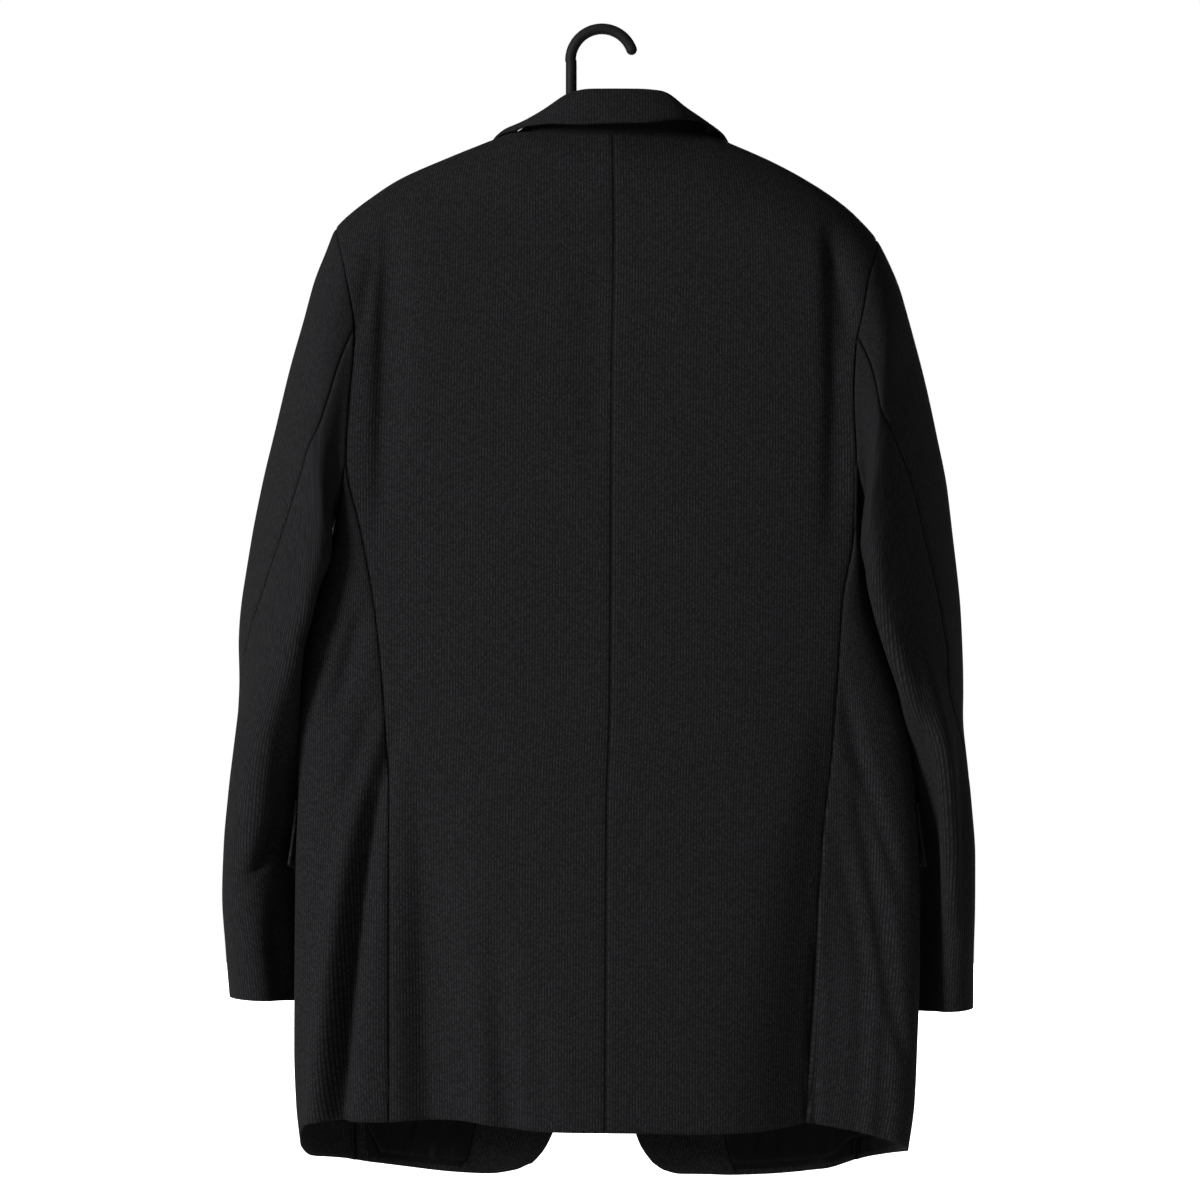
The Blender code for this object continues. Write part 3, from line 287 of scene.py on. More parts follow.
def ringFrame(side, ring):
    own = sleeveSide[side]
    dropOut, dropIn = (read(sleeve, name, ring) for name in ("outerDrop", "innerDrop"))
    reachOut, reachIn = (read(own, name, ring) for name in ("outer", "inner"))
    lower = sleeveShape["cuffDrop"][side] * ring / ringCount
    middle = read(sleeve, "depth", ring)
    centre = placed(side, (reachOut + reachIn) / 2, middle, (dropOut + dropIn) / 2 + lower)
    zero = 0.0 * ring
    outward = placed(side, (reachOut - reachIn) / 2, zero, (dropOut - dropIn) / 2) - placed(side, zero, zero, zero)
    backward = np.stack([zero, read(sleeve, "halfDeep", ring), zero], axis=-1)
    return centre, outward, backward


def sleeveTurn(side, ring, place):
    start = np.arange(0.0, ringPlaces + 0.01, 0.25)
    centre, outward, backward = ringFrame(side, np.zeros(len(start)))
    arm = armholePoint(side, start) - centre
    across = np.sum(arm * outward, axis=-1) / np.sum(outward**2, axis=-1)
    natural = np.degrees(np.arctan2(arm[:, 1] / backward[:, 1], across)) % 360.0
    natural[0], natural[-1] = 0.0, 360.0
    hind = read(sleeveSide[side], "hindTurn", ring)
    front = read(sleeve, "frontTurn", ring)
    under = mix(hind, front, (place - hindSeam) / (frontSeam - hindSeam))
    top = mix(front - 360.0, hind, ((place - frontSeam) % ringPlaces) / (ringPlaces - frontSeam + hindSeam))
    top = np.where(place > hindSeam, top + 360.0, top)
    even = np.where((place >= hindSeam) & (place <= frontSeam), under, top)
    return np.radians(mix(np.interp(place, start, natural), even, ease(ring, 0.0, sleeveShape["fitRings"])))


def sleevePoint(side, ring, place):
    turn = sleeveTurn(side, ring, place)
    centre, outward, backward = ringFrame(side, ring)
    lean = read(sleeveSide[side], "lean", ring)[..., None] * np.array([sides[side], 0, 0])
    oval = centre + np.cos(turn)[..., None] * outward + np.sin(turn)[..., None] * (backward + lean)
    firstCentre, firstOut, firstBack = ringFrame(side, 0 * ring)
    firstTurn = sleeveTurn(side, 0 * ring, place)
    firstOval = firstCentre + np.cos(firstTurn)[..., None] * firstOut + np.sin(firstTurn)[..., None] * firstBack
    loose = (1 - ease(ring, 0.0, sleeveShape["fitRings"]))[..., None]
    return oval + (armholePoint(side, place) - firstOval) * loose


# Folds of the hanging cloth. Each row is a place on the fold: its drop, reach, depth (a ridge is
# positive) and how softly it falls away towards the centre (inner) and away from it (outer).
def fold(side, face, *rows):
    return {**table("drop reach depth inner outer", *rows), "side": side, "face": face}


folds = (
    # left side panel: a ridge that drops sharply into a valley, both running out from the seam
    fold("left", 1, (550, 170, 0, 8, 6), (586, 177, -5, 8, 7), (630, 187, -9, 8, 7), (676, 196, -13, 9, 7.5),
         (727, 203, -16, 9, 8), (777, 209, -18, 9, 8), (830, 214, -18, 9, 8), (881, 218, -16, 9, 8),
         (925, 221, -14, 9, 8)),
    fold("left", 1, (550, 180, 0, 6, 8), (586, 192, 2, 7, 10), (630, 202, 4.5, 8, 11), (676, 212, 6.5, 8, 11),
         (727, 220, 8, 8, 11), (777, 226, 9, 8, 10.5), (830, 231, 9, 8, 10), (881, 235, 8, 8, 9),
         (925, 238, 7, 8, 9)),
    fold("left", 1, (462, 196, 0, 9, 6), (495, 205, -5, 10, 6), (529, 214, -5.5, 10, 6), (556, 222, 0, 9, 6)),
    fold("left", 1, (545, 190, 0, 9, 6), (575, 197, -4.5, 10, 6), (606, 206, -4.5, 10, 6), (630, 214, 0, 9, 6)),
    # left back: soft hanging valleys above the hem, steeper on their outer sides
    fold("left", 1, (590, 152, 0, 22, 10), (660, 150, -4.5, 28, 11), (730, 148, -11, 36, 15), (800, 147, -16, 42, 17),
         (900, 144, -18, 44, 18)),
    fold("left", 1, (700, 92, 0, 16, 9), (765, 88, -3.6, 18, 11), (830, 84, -7, 20, 12), (900, 79, -9, 20, 13)),
    fold("left", 1, (740, 58, 0, 14, 9), (819, 54, -2, 14, 10), (900, 51, -3, 14, 10)),
    # right back: a broad fall towards the seam, which the side panel climbs again beyond it
    fold("right", 1, (535, 184, 0, 14, 24), (601, 184, -7, 20, 30), (674, 184, -13, 32, 36), (747, 184, -18, 42, 38),
         (820, 182, -21, 48, 38), (900, 181, -21, 52, 38)),
    fold("right", 1, (731, 173, 0, 3.5, 3.5), (780, 172, -2.4, 3.5, 3.5), (836, 171, -3, 3.5, 3.5),
         (900, 170, -3, 3.5, 3.5)),
    # right side panel: narrow creases that cross it one above the other
    fold("right", 1, (522, 192, 0, 8, 4), (549, 197, -4, 9, 4.5), (586, 206, -6.4, 10, 5), (616, 215, -6.6, 10, 5),
         (645, 224, -6, 10, 5), (675, 233, -4, 9, 5), (708, 240, 0, 9, 5)),
    fold("right", 1, (610, 203, 0, 8, 4), (633, 208, -4.4, 9, 4.5), (667, 216, -6.2, 10, 5), (700, 222, -7, 10, 5),
         (736, 228, -7.4, 10, 5), (777, 233, -6.4, 10, 5), (819, 241, -4, 9, 5), (845, 248, 0, 8, 5)),
    fold("right", 1, (651, 191, 0, 8, 4), (695, 200, -4.4, 9, 4.5), (736, 209, -5.6, 10, 5), (781, 214, -6, 10, 5),
         (830, 213, -5.6, 10, 5), (900, 209, -5, 10, 5)),
    fold("right", 1, (790, 226, 0, 8, 4), (830, 229, -4.4, 9, 5), (900, 228, -5, 9, 5)),
    # shoulder blades and the creases that run to the underarms
    fold("left", 1, (154, 177, 0, 12, 5), (189, 178, -6, 16, 6), (246, 180, -7.5, 18, 6.5), (302, 181, -7, 18, 7),
         (359, 183, -5, 16, 7), (425, 184, 0, 14, 7)),
    fold("left", 1, (169, 186, 0, 6, 5), (190, 190, -3.4, 7, 6), (221, 195, -3.8, 7, 6), (249, 201, -2.4, 7, 6),
         (261, 204, 0, 7, 6)),
    fold("right", 1, (152, 181, 0, 7, 10), (189, 183, -6, 8, 14), (246, 185, -7.5, 8.5, 16), (302, 186, -6.5, 9, 16),
         (367, 184, -4.5, 9, 14), (436, 182, 0, 9, 12)),
    fold("right", 1, (170, 184, 0, 7, 5), (196, 188, -3.4, 8, 6), (229, 194, -3.8, 8, 6), (257, 198, -2.4, 8, 6),
         (271, 199, 0, 8, 6)),
    fold("left", 1, (174, 6, 0, 14, 18), (230, 8, -2, 14, 20), (303, 8, -2.2, 14, 20), (375, 5, 0, 14, 18)),
    # fronts: the same kind of hanging folds, guessed
    fold("left", -1, (560, 150, 0, 10, 18), (640, 146, -2.6, 12, 20), (740, 138, -4.2, 14, 22),
         (840, 132, -5, 15, 24), (940, 128, -5.2, 16, 26)),
    fold("left", -1, (640, 188, 0, 8, 10), (720, 192, -3, 9, 12), (820, 196, -4.5, 9, 13), (930, 198, -4.5, 9, 14)),
    fold("right", -1, (600, 128, 0, 12, 18), (700, 120, -3, 14, 22), (800, 112, -4.4, 15, 24),
         (940, 104, -5, 16, 26)),
    fold("right", -1, (660, 178, 0, 8, 12), (750, 182, -3.4, 9, 13), (850, 184, -4.4, 9, 14), (930, 184, -4, 9, 14)),
    fold("left", -1, (285, 146, 0, 12, 12), (330, 156, -3, 13, 13), (380, 167, -2.4, 12, 12), (425, 177, 0, 10, 10)),
    fold("right", -1, (290, 142, 0, 12, 12), (340, 154, -3, 13, 13), (390, 166, -2.4, 12, 12), (430, 176, 0, 10, 10)),
)
sleeveFolds = (
    # left: the back edge rolls in behind the side panel, a crease swings out above a hanging lobe
    fold("left", 1, (395, 228, 0, 8, 9), (430, 230, 3.5, 8, 9), (480, 238, 4, 8, 9), (525, 247, 5, 8, 9),
         (565, 251, 4.5, 8, 8), (600, 253, 0, 8, 8)),
    fold("left", 1, (585, 259, 0, 5, 7), (610, 262, -3, 5, 8), (635, 264, -6, 5, 8), (655, 268, -7, 6, 8),
         (680, 281, -5.5, 6, 6), (694, 297, 0, 6, 6)),
    fold("left", 1, (560, 272, 0, 8, 12), (605, 278, 4, 10, 12), (640, 283, 5, 10, 12), (668, 290, 2.5, 8, 10),
         (690, 296, 0, 8, 8)),
    fold("left", 1, (690, 262, 0, 6, 7), (712, 266, -5, 7, 8), (740, 267, -6.5, 7, 10), (770, 265, -5.5, 7, 10),
         (800, 263, -4, 7, 10)),
    fold("left", -1, (440, 262, 0, 8, 10), (500, 272, -3, 9, 12), (560, 284, -3, 9, 12), (610, 292, 0, 8, 10)),
    # right: a deep shadowed valley along the body with a ridge outside it
    fold("right", 1, (395, 218, 0, 8, 9), (430, 216, 3.5, 8, 9), (470, 221, 4, 8, 9), (510, 234, 5, 8, 9),
         (548, 246, 4.5, 8, 8), (585, 252, 0, 8, 8)),
    fold("right", 1, (560, 255, 0, 6, 6), (600, 260, -5, 9, 6), (650, 264, -8, 11, 7), (715, 266, -8, 12, 7),
         (795, 266, -6, 12, 8)),
    fold("right", 1, (490, 254, 0, 6, 8), (545, 266, 4, 7, 8), (600, 275, 6, 8, 8), (650, 279, 6, 8, 8),
         (700, 281, 4, 8, 9), (735, 282, 0, 8, 9)),
    fold("right", 1, (560, 286, 0, 6, 5), (610, 291, -3.6, 6, 5), (670, 293, -4, 6, 5), (720, 292, -2.6, 6, 6),
         (750, 290, 0, 6, 6)),
    fold("right", -1, (450, 258, 0, 8, 10), (510, 266, -3, 9, 12), (570, 278, -3, 9, 12), (620, 286, 0, 8, 10)),
)


foldTurn = {"gain": 2.2, "start": 0.15}  # how fast a fold fades where the cloth turns from its face


def foldPush(listed, side, points, normals):
    reach, drop = sides[side] * (points[..., 0] - centreX), -points[..., 2]
    push = np.zeros(reach.shape)
    for each in listed:
        if each["side"] != side:
            continue
        names = ("reach", "depth", "inner", "outer")
        line, depth, inner, outer = (read(each, name, drop) for name in names)
        off = reach - line
        width = np.where(off < 0, inner, outer)
        within = (drop > each["drop"][0]) & ((drop < each["drop"][-1]) | (each["depth"][-1] != 0))
        turned = np.clip(each["face"] * normals[..., 1] * foldTurn["gain"] + foldTurn["start"], 0.0, 1.0)
        push = push + np.where(within, depth, 0.0) * np.exp(-((off / width) ** 2)) * turned
    return push


# Fine grids
def gridNormals(points):
    across = (points[1:, 1:] - points[:-1, :-1], points[1:, :-1] - points[:-1, 1:])
    face = unit(np.cross(across[0], across[1]))
    total = np.zeros_like(points)
    for rows in (slice(None, -1), slice(1, None)):
        for columns in (slice(None, -1), slice(1, None)):
            total[rows, columns] += face
    return unit(total)


def shared(skin, values):
    # the mean of each point's values over the panels that meet there
    names = list(skin)
    width = values[names[0]].shape[-1]
    points = np.concatenate([skin[name].reshape(-1, 3) for name in names])
    flat = np.concatenate([values[name].reshape(-1, width) for name in names])
    _, index, count = np.unique(np.round(points, 2), axis=0, return_inverse=True, return_counts=True)
    index = index.reshape(-1)
    total = np.zeros((len(count), width))
    np.add.at(total, index, flat)
    ends = np.cumsum([values[name][..., 0].size for name in names])
    pieces = np.split((total / count[:, None])[index], ends[:-1])
    return {name: piece.reshape(values[name].shape) for name, piece in zip(names, pieces)}


def divided(wholes, parts):
    # every whole step cut into equal parts
    return np.linspace(wholes[0], wholes[1], (wholes[1] - wholes[0]) * parts + 1)


def nearSeams(spots, close):
    # more lines close to the two ends, where the seam dips
    first, last = spots[0], spots[-1]
    return np.unique(np.concatenate([spots, first + np.array(close), last - np.array(close)]))


upperRows = divided((0, armRow), 3 * detail)
lowerRows = divided((armRow, hemRow), 4 * detail)[1:]
bodyRows = np.concatenate([upperRows, lowerRows])
sideRows = np.concatenate([[armRow], lowerRows])
backColumns = nearSeams(divided((0, backColumn), 3 * detail), (0.025, 0.06, 0.12))
frontColumns = nearSeams(divided((0, frontColumn), 4 * detail), (0.03, 0.07, 0.13))
sideSpots = nearSeams(divided((0, sideColumn), 4 * detail), (0.03, 0.07, 0.13))
rings = nearSeams(divided((0, ringCount), 5 * detail), (0.03, 0.07, 0.12))
places = np.concatenate([upperRows, armRow + sideSpots[1:], ringPlaces - upperRows[:-1][::-1]])


def grid(point, side, rows, columns):
    row, column = np.meshgrid(rows, columns, indexing="ij")
    return point(side, row, column)


def buildSkin():
    skin, normals, flips, plain = {}, {}, {}, {}
    for side in sides:
        skin["back_" + side] = grid(backPoint, side, bodyRows, backColumns)
        skin["side_" + side] = grid(sidePoint, side, sideRows, sideSpots)
        skin["front_" + side] = grid(frontPoint, side, bodyRows, frontColumns)
        skin["sleeve_" + side] = grid(sleevePoint, side, rings, places)
    outward = {"back": (0, 1), "front": (0, -1), "side": (1, 0), "sleeve": (1, 0)}

    def turned(name, points):
        normal = gridNormals(points)
        if name.startswith("sleeve"):
            joined = unit(normal[:, :1] + normal[:, -1:])
            normal[:, :1], normal[:, -1:] = joined, joined
        return normal

    for name, points in skin.items():
        part, side = name.split("_")
        normal = turned(name, points)
        probe = normal[:, :3] if part == "sleeve" else normal
        towards = np.array([outward[part][0] * sides[side], outward[part][1], 0.0])
        flips[name] = -1.0 if probe.reshape(-1, 3).mean(axis=0) @ towards < 0 else 1.0
        normals[name] = normal * flips[name]
    normals = {name: unit(normal) for name, normal in shared(skin, normals).items()}
    for name, points in skin.items():
        part, side = name.split("_")
        listed = sleeveFolds if part == "sleeve" else folds
        push = foldPush(listed, side, points, normals[name])
        plain[name] = points
        skin[name] = points + normals[name] * push[..., None]
    normals = {name: turned(name, points) * flips[name] for name, points in skin.items()}
    return skin, {name: unit(normal) for name, normal in shared(skin, normals).items()}, plain


print("folding the cloth")
skin, normals, plain = buildSkin()
print("points", sum(points.shape[0] * points.shape[1] for points in skin.values()))


# Finishes
def add(tree, kind, inputs=None, **settings):
    node = tree.nodes.new(kind)
    for name, value in settings.items():
        setattr(node, name, value)
    for name, value in (inputs or {}).items():
        if isinstance(value, bpy.types.NodeSocket):
            tree.links.new(value, node.inputs[name])
        else:
            node.inputs[name].default_value = value
    return node


def newFinish(name, look):
    made = bpy.data.materials.new(name)
    made.use_nodes = True
    shader = made.node_tree.nodes["Principled BSDF"]
    for socket, value in look.items():
        shader.inputs[socket].default_value = value
    made.diffuse_color = (0.014, 0.014, 0.016, 1.0)
    return made, made.node_tree, shader


def mathOf(tree, operation, first, second=0.0, third=0.0):
    return add(tree, "ShaderNodeMath", {0: first, 1: second, 2: third}, operation=operation).outputs[0]


def speckle(tree, where, scale, detail, distortion=0.0):
    inputs = {"Vector": where, "Scale": scale, "Detail": detail, "Distortion": distortion}
    return add(tree, "ShaderNodeTexNoise", inputs).outputs["Fac"]


def spread(tree, value, low, high):
    return add(tree, "ShaderNodeMapRange", {0: value, 3: low, 4: high}).outputs[0]


def relieve(tree, shader, height, strength, distance):
    bump = add(tree, "ShaderNodeBump", {"Height": height, "Strength": strength, "Distance": distance})
    tree.links.new(bump.outputs[0], shader.inputs["Normal"])


def solidPlace(tree):
    return add(tree, "ShaderNodeTexCoord").outputs["Object"]


def clothPlace(tree):
    return add(tree, "ShaderNodeUVMap", uv_map="weave").outputs["UV"]


wool = {
    "ground": 0.0070, "stripe": 0.0250, "tint": (0.98, 0.98, 1.07),
    "pitch": 2.3, "breakLength": 4.6, "fewest": 0.30,
    "mottle": 0.05, "yarn": 0.42, "yarnScale": (1.9, 0.95, 1.0), "twill": (4.9, 4.1),
    # the last two on the next line are a painted shadow along the seams: how dark it is at the seam, and how far out
    # it reaches in mm
    "relief": 0.25, "paintedSeamShadow": 0.30, "seamReach": 1.3,
}
felt = {"darkest": 0.0052, "lightest": 0.0098, "hairScale": 900.0, "fuzz": 0.5}
satin = {"darkest": 0.0016, "lightest": 0.0030, "threads": (4.0, 0.5, 1.0), "gloss": (0.52, 0.68), "rib": 0.10}
horn = {"dark": (0.004, 0.0035, 0.003, 1.0), "light": (0.030, 0.022, 0.016, 1.0), "cloudScale": 160.0}
moulding = {"tone": (0.0080, 0.0120), "gloss": (0.55, 0.70), "grainScale": 1400.0, "wearScale": 35.0}


def makeWool(name):
    look = {"Roughness": 0.92, "Specular IOR Level": 0.08, "Sheen Weight": 0.012, "Sheen Roughness": 0.5}
    made, tree, shader = newFinish(name, look)
    weave = clothPlace(tree)
    apart = add(tree, "ShaderNodeSeparateXYZ", {0: weave})
    across, along = apart.outputs[0], apart.outputs[1]
    # the self stripe: a lighter warp line at every pitch, broken along its length
    phase = mathOf(tree, "MULTIPLY", across, 2 * math.pi / wool["pitch"])
    line = mathOf(tree, "MULTIPLY_ADD", mathOf(tree, "COSINE", phase), 0.5, 0.5)
    column = mathOf(tree, "FLOOR", mathOf(tree, "ADD", mathOf(tree, "DIVIDE", across, wool["pitch"]), 0.5))
    spot = add(tree, "ShaderNodeCombineXYZ", {0: column, 1: mathOf(tree, "DIVIDE", along, wool["breakLength"])})
    breaks = speckle(tree, spot.outputs[0], 1.73, 1.5)
    broken = add(tree, "ShaderNodeMapRange", {0: breaks, 1: 0.38, 2: 0.62, 3: wool["fewest"], 4: 1.0})
    line = mathOf(tree, "MULTIPLY", line, broken.outputs[0])
    # single yarns, and slow change of shade over the cloth
    yarnSpot = add(tree, "ShaderNodeMapping", {"Vector": weave, "Scale": wool["yarnScale"]})
    yarn = speckle(tree, yarnSpot.outputs[0], 1.0, 2.0)
    slow = speckle(tree, weave, 0.012, 2.0)
    tone = mathOf(tree, "MULTIPLY_ADD", line, wool["stripe"] - wool["ground"], wool["ground"])
    uneven = mathOf(tree, "MULTIPLY_ADD", yarn, 2 * wool["yarn"], 1 - wool["yarn"])
    shade = mathOf(tree, "MULTIPLY_ADD", slow, 2 * wool["mottle"], 1 - wool["mottle"])
    tone = mathOf(tree, "MULTIPLY", mathOf(tree, "MULTIPLY", tone, uneven), shade)
    # painted shadow: the colour darkens towards each seam, standing in for the shade that falls into the seam's
    # groove
    border = add(tree, "ShaderNodeUVMap", uv_map="border").outputs["UV"]
    near = add(tree, "ShaderNodeSeparateXYZ", {0: border}).outputs[0]
    seamRange = {0: near, 1: 0.0, 2: wool["seamReach"], 3: wool["paintedSeamShadow"], 4: 1.0}
    tone = mathOf(tree, "MULTIPLY", tone, add(tree, "ShaderNodeMapRange", seamRange).outputs[0])
    parts = [mathOf(tree, "MULTIPLY", tone, part) for part in wool["tint"]]
    colour = add(tree, "ShaderNodeCombineColor", dict(enumerate(parts)))
    tree.links.new(colour.outputs[0], shader.inputs["Base Color"])
    # twill: raised warp lines crossed by a fine diagonal
    slopeAcross, slopeAlong = wool["twill"]
    slant = mathOf(tree, "MULTIPLY_ADD", along, slopeAlong, mathOf(tree, "MULTIPLY", across, slopeAcross))
    twill = mathOf(tree, "MULTIPLY_ADD", mathOf(tree, "SINE", slant), 0.2, line)
    relieve(tree, shader, mathOf(tree, "MULTIPLY_ADD", yarn, 0.8, twill), wool["relief"], 0.0006)
    return made


def makeFelt(name):
    look = {"Roughness": 0.95, "Sheen Weight": 0.02, "Specular IOR Level": 0.1}
    made, tree, shader = newFinish(name, look)
    hairs = speckle(tree, solidPlace(tree), felt["hairScale"], 3.0, 1.5)
    tree.links.new(spread(tree, hairs, felt["darkest"], felt["lightest"]), shader.inputs["Base Color"])
    relieve(tree, shader, hairs, felt["fuzz"], 0.0006)
    return made


def makeSatin(name):
    made, tree, shader = newFinish(name, {"Roughness": 0.6, "Specular IOR Level": 0.10})
    weave = clothPlace(tree)
    threads = add(tree, "ShaderNodeMapping", {"Vector": weave, "Scale": satin["threads"]})
    fine, slow = speckle(tree, threads.outputs[0], 1.0, 2.0), speckle(tree, weave, 0.03, 2.0)
    tree.links.new(spread(tree, fine, satin["darkest"], satin["lightest"]), shader.inputs["Base Color"])
    tree.links.new(spread(tree, slow, *satin["gloss"]), shader.inputs["Roughness"])
    relieve(tree, shader, fine, satin["rib"], 0.0002)
    return made


def makeHorn(name):
    made, tree, shader = newFinish(name, {"Roughness": 0.32, "Coat Weight": 0.15, "Coat Roughness": 0.2})
    clouds = speckle(tree, solidPlace(tree), horn["cloudScale"], 4.0, 2.5)
    bands = add(tree, "ShaderNodeValToRGB", {0: clouds})
    for stop, shade in zip(bands.color_ramp.elements, ("dark", "light")):
        stop.color = horn[shade]
    tree.links.new(bands.outputs[0], shader.inputs["Base Color"])
    relieve(tree, shader, clouds, 0.1, 0.0002)
    return made


def makeMoulding(name):
    made, tree, shader = newFinish(name, {"Specular IOR Level": 0.18})
    where = solidPlace(tree)
    grainy, wear = speckle(tree, where, moulding["grainScale"], 2.0), speckle(tree, where, moulding["wearScale"], 4.0)
    tree.links.new(spread(tree, wear, *moulding["tone"]), shader.inputs["Base Color"])
    tree.links.new(spread(tree, wear, *moulding["gloss"]), shader.inputs["Roughness"])
    relieve(tree, shader, grainy, 0.15, 0.0002)
    return made


finishes = {
    "wool": makeWool("charcoalStripe"),
    "felt": makeFelt("collarFelt"),
    "satin": makeSatin("liningSatin"),
    "horn": makeHorn("hornButton"),
    "moulding": makeMoulding("hangerMoulding"),
}


# Pieces
def run(points, axis):
    # distance over the cloth along one way of its grid, from the first line
    step = np.linalg.norm(np.diff(points, axis=axis), axis=-1)
    first = np.zeros_like(np.take(step, [0], axis=axis))
    return np.concatenate([first, np.cumsum(step, axis=axis)], axis=axis)


def crossing(distance, values, at):
    # on each row, the distance at which the value is passed
    found = [np.interp(at, *((v, d) if v[-1] > v[0] else (v[::-1], d[::-1]))) for d, v in zip(distance, values)]
    return distance - np.array(found)[:, None]


def threadLines(points, startColumn=0, startRow=0):
    # where each point lies on the flat cloth: across the grain and along it
    across, along = run(points, 1), run(points, 0)
    return across - across[:, startColumn][:, None], along - along[startRow][None, :]


def grain(key):
    # thread lines of a body panel or a sleeve, before it folds: they hang straight down the piece
    part, side = key.split("_")
    points = plain[key]
    across, along = run(points, 1), run(points, 0)
    reach = sides[side] * (points[..., 0] - centreX)
    if part == "front":
        return crossing(across, reach, 100.0), -points[..., 2]
    if part == "side":
        return crossing(across, points[..., 1], 5.0), -points[..., 2]
    if part == "back":
        return across, -points[..., 2]
    ring, place = np.meshgrid(rings, places, indexing="ij")
    turn = np.degrees(sleeveTurn(side, ring, place))
    around = crossing(across, turn, 20.0)
    around = np.where(place > frontSeam, around - across[:, -1:], around)
    return around, along


def newPiece(name, points, faces, finish):
    mesh = bpy.data.meshes.new(name)
    mesh.from_pydata([tuple(point) for point in np.asarray(points) * mm], [], faces)
    for each in [finish] if isinstance(finish, str) else finish:
        mesh.materials.append(finishes[each])
    piece = bpy.data.objects.new(name, mesh)
    bpy.context.collection.objects.link(piece)
    mesh.shade_smooth()
    return piece


clothCount = 0
bolt = {"stripes": 131, "along": 97.0}  # how far apart the pieces lie on the bolt


def sheetPiece(name, points, towards, finish, wall, threads=None, seams=None, innerPaint=None, turn=False):
    # a grid of points made into cloth as thick as its wall, its face to the side that towards gives
    rows, columns = points.shape[:2]
    i, j = np.meshgrid(np.arange(rows - 1), np.arange(columns - 1), indexing="ij")
    first = (i * columns + j).ravel()
    faces = np.stack([first, first + columns, first + columns + 1, first + 1], axis=1)
    flat = points.reshape(-1, 3)
    middle = faces[len(faces) // 2]
    facing = np.cross(flat[middle[2]] - flat[middle[0]], flat[middle[3]] - flat[middle[1]])
    if facing @ towards.reshape(-1, 3)[middle[0]] < 0:
        faces = faces[:, ::-1]
    piece = newPiece(name, flat, faces.tolist(), finish)
    across, along = threads or threadLines(points)
    if turn:
        across, along = along, across
    # every piece lies elsewhere on the bolt, whole stripes apart
    global clothCount
    clothCount += 1
    across, along = across + clothCount * bolt["stripes"] * wool["pitch"], along + clothCount * bolt["along"]
    near = np.full(across.shape, farAway) if seams is None else seams
    for layer, values in (("weave", (across, along)), ("border", (near, 0 * near))):
        uv = piece.data.uv_layers.new(name=layer)
        corners = np.stack([values[0].ravel(), values[1].ravel()], axis=1)[faces.ravel()]
        uv.data.foreach_set("uv", corners.astype(np.float32).ravel())
    if innerPaint is not None:
        piece.data.polygons.foreach_set("material_index", innerPaint.astype(np.int32).ravel())
    thick = piece.modifiers.new("clothThickness", "SOLIDIFY")
    thick.thickness, thick.offset = wall * mm, -1.0
    thick.use_even_offset = False
    thick.material_offset = 1 if len(piece.data.materials) > 1 else 0
    return piece


def dress(piece, node, slot, **cut):
    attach(piece, "root")
    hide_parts(*([node] if isinstance(node, str) else node))
    return piece


spots = {"back": backColumns, "side": sideSpots, "front": frontColumns}


def sample(key, row, column):
    # point and normal of the fine skin at a row and a column that need not be one of its own
    part = key.split("_")[0]
    rowSpots, columnSpots = (sideRows if part == "side" else bodyRows), spots[part]
    atRow = np.interp(row, rowSpots, np.arange(len(rowSpots)))
    atColumn = np.interp(column, columnSpots, np.arange(len(columnSpots)))
    i = np.clip(np.floor(atRow).astype(int), 0, len(rowSpots) - 2)
    j = np.clip(np.floor(atColumn).astype(int), 0, len(columnSpots) - 2)
    downShare, acrossShare = (atRow - i)[..., None], (atColumn - j)[..., None]
    found = []
    for grid in (skin[key], normals[key]):
        upper = mix(grid[i, j], grid[i, j + 1], acrossShare)
        lower = mix(grid[i + 1, j], grid[i + 1, j + 1], acrossShare)
        found.append(mix(upper, lower, downShare))
    return found[0], unit(found[1])


lapel = {
    "gorgeRow": 2.6, "gorgeSlope": 0.21, "breakRow": 13.0, "rest": 2.2, "roll": 3.4, "wall": 1.8,
    "edgeClear": 0.002,
}
bodyCloth = {"wall": 1.5, "dip": 0.7, "dipWidth": 3.0, "groove": 0.8, "grooveWidth": 0.75}


def pressed(points, normal, borders):
    # cloth turned in at its seams: a soft dip with a narrow groove, and how far each point is from one
    near = np.full(points.shape[:2], farAway)
    for axis, index in borders:
        distance = run(points, axis)
        if index:
            distance = (distance[-1:] if axis == 0 else distance[:, -1:]) - distance
        near = np.minimum(near, distance)
    push = bodyCloth["dip"] * np.exp(-((near / bodyCloth["dipWidth"]) ** 2))
    push = push + bodyCloth["groove"] * np.exp(-((near / bodyCloth["grooveWidth"]) ** 2))
    return points - normal * push[..., None], near


cuts = {
    "back": (0.235, 0.83, 0.162), "side": (0.16, 0.58, 0.090), "front": (0.235, 0.87, 0.170),
    "sleeveTop": (0.20, 0.66, 0.097), "sleeveUnder": (0.17, 0.55, 0.084),
}


backLap = 0.3  # the centre back seam's edges overlap a little, so no light comes through
# inside: the turned-up hem shows below the lining, and stands higher at the sides
hemTurn = {"strip": 8.0, "side": {"left": 34.0, "right": 20.0}, "sideReach": {"left": 200.0, "right": 222.0}}


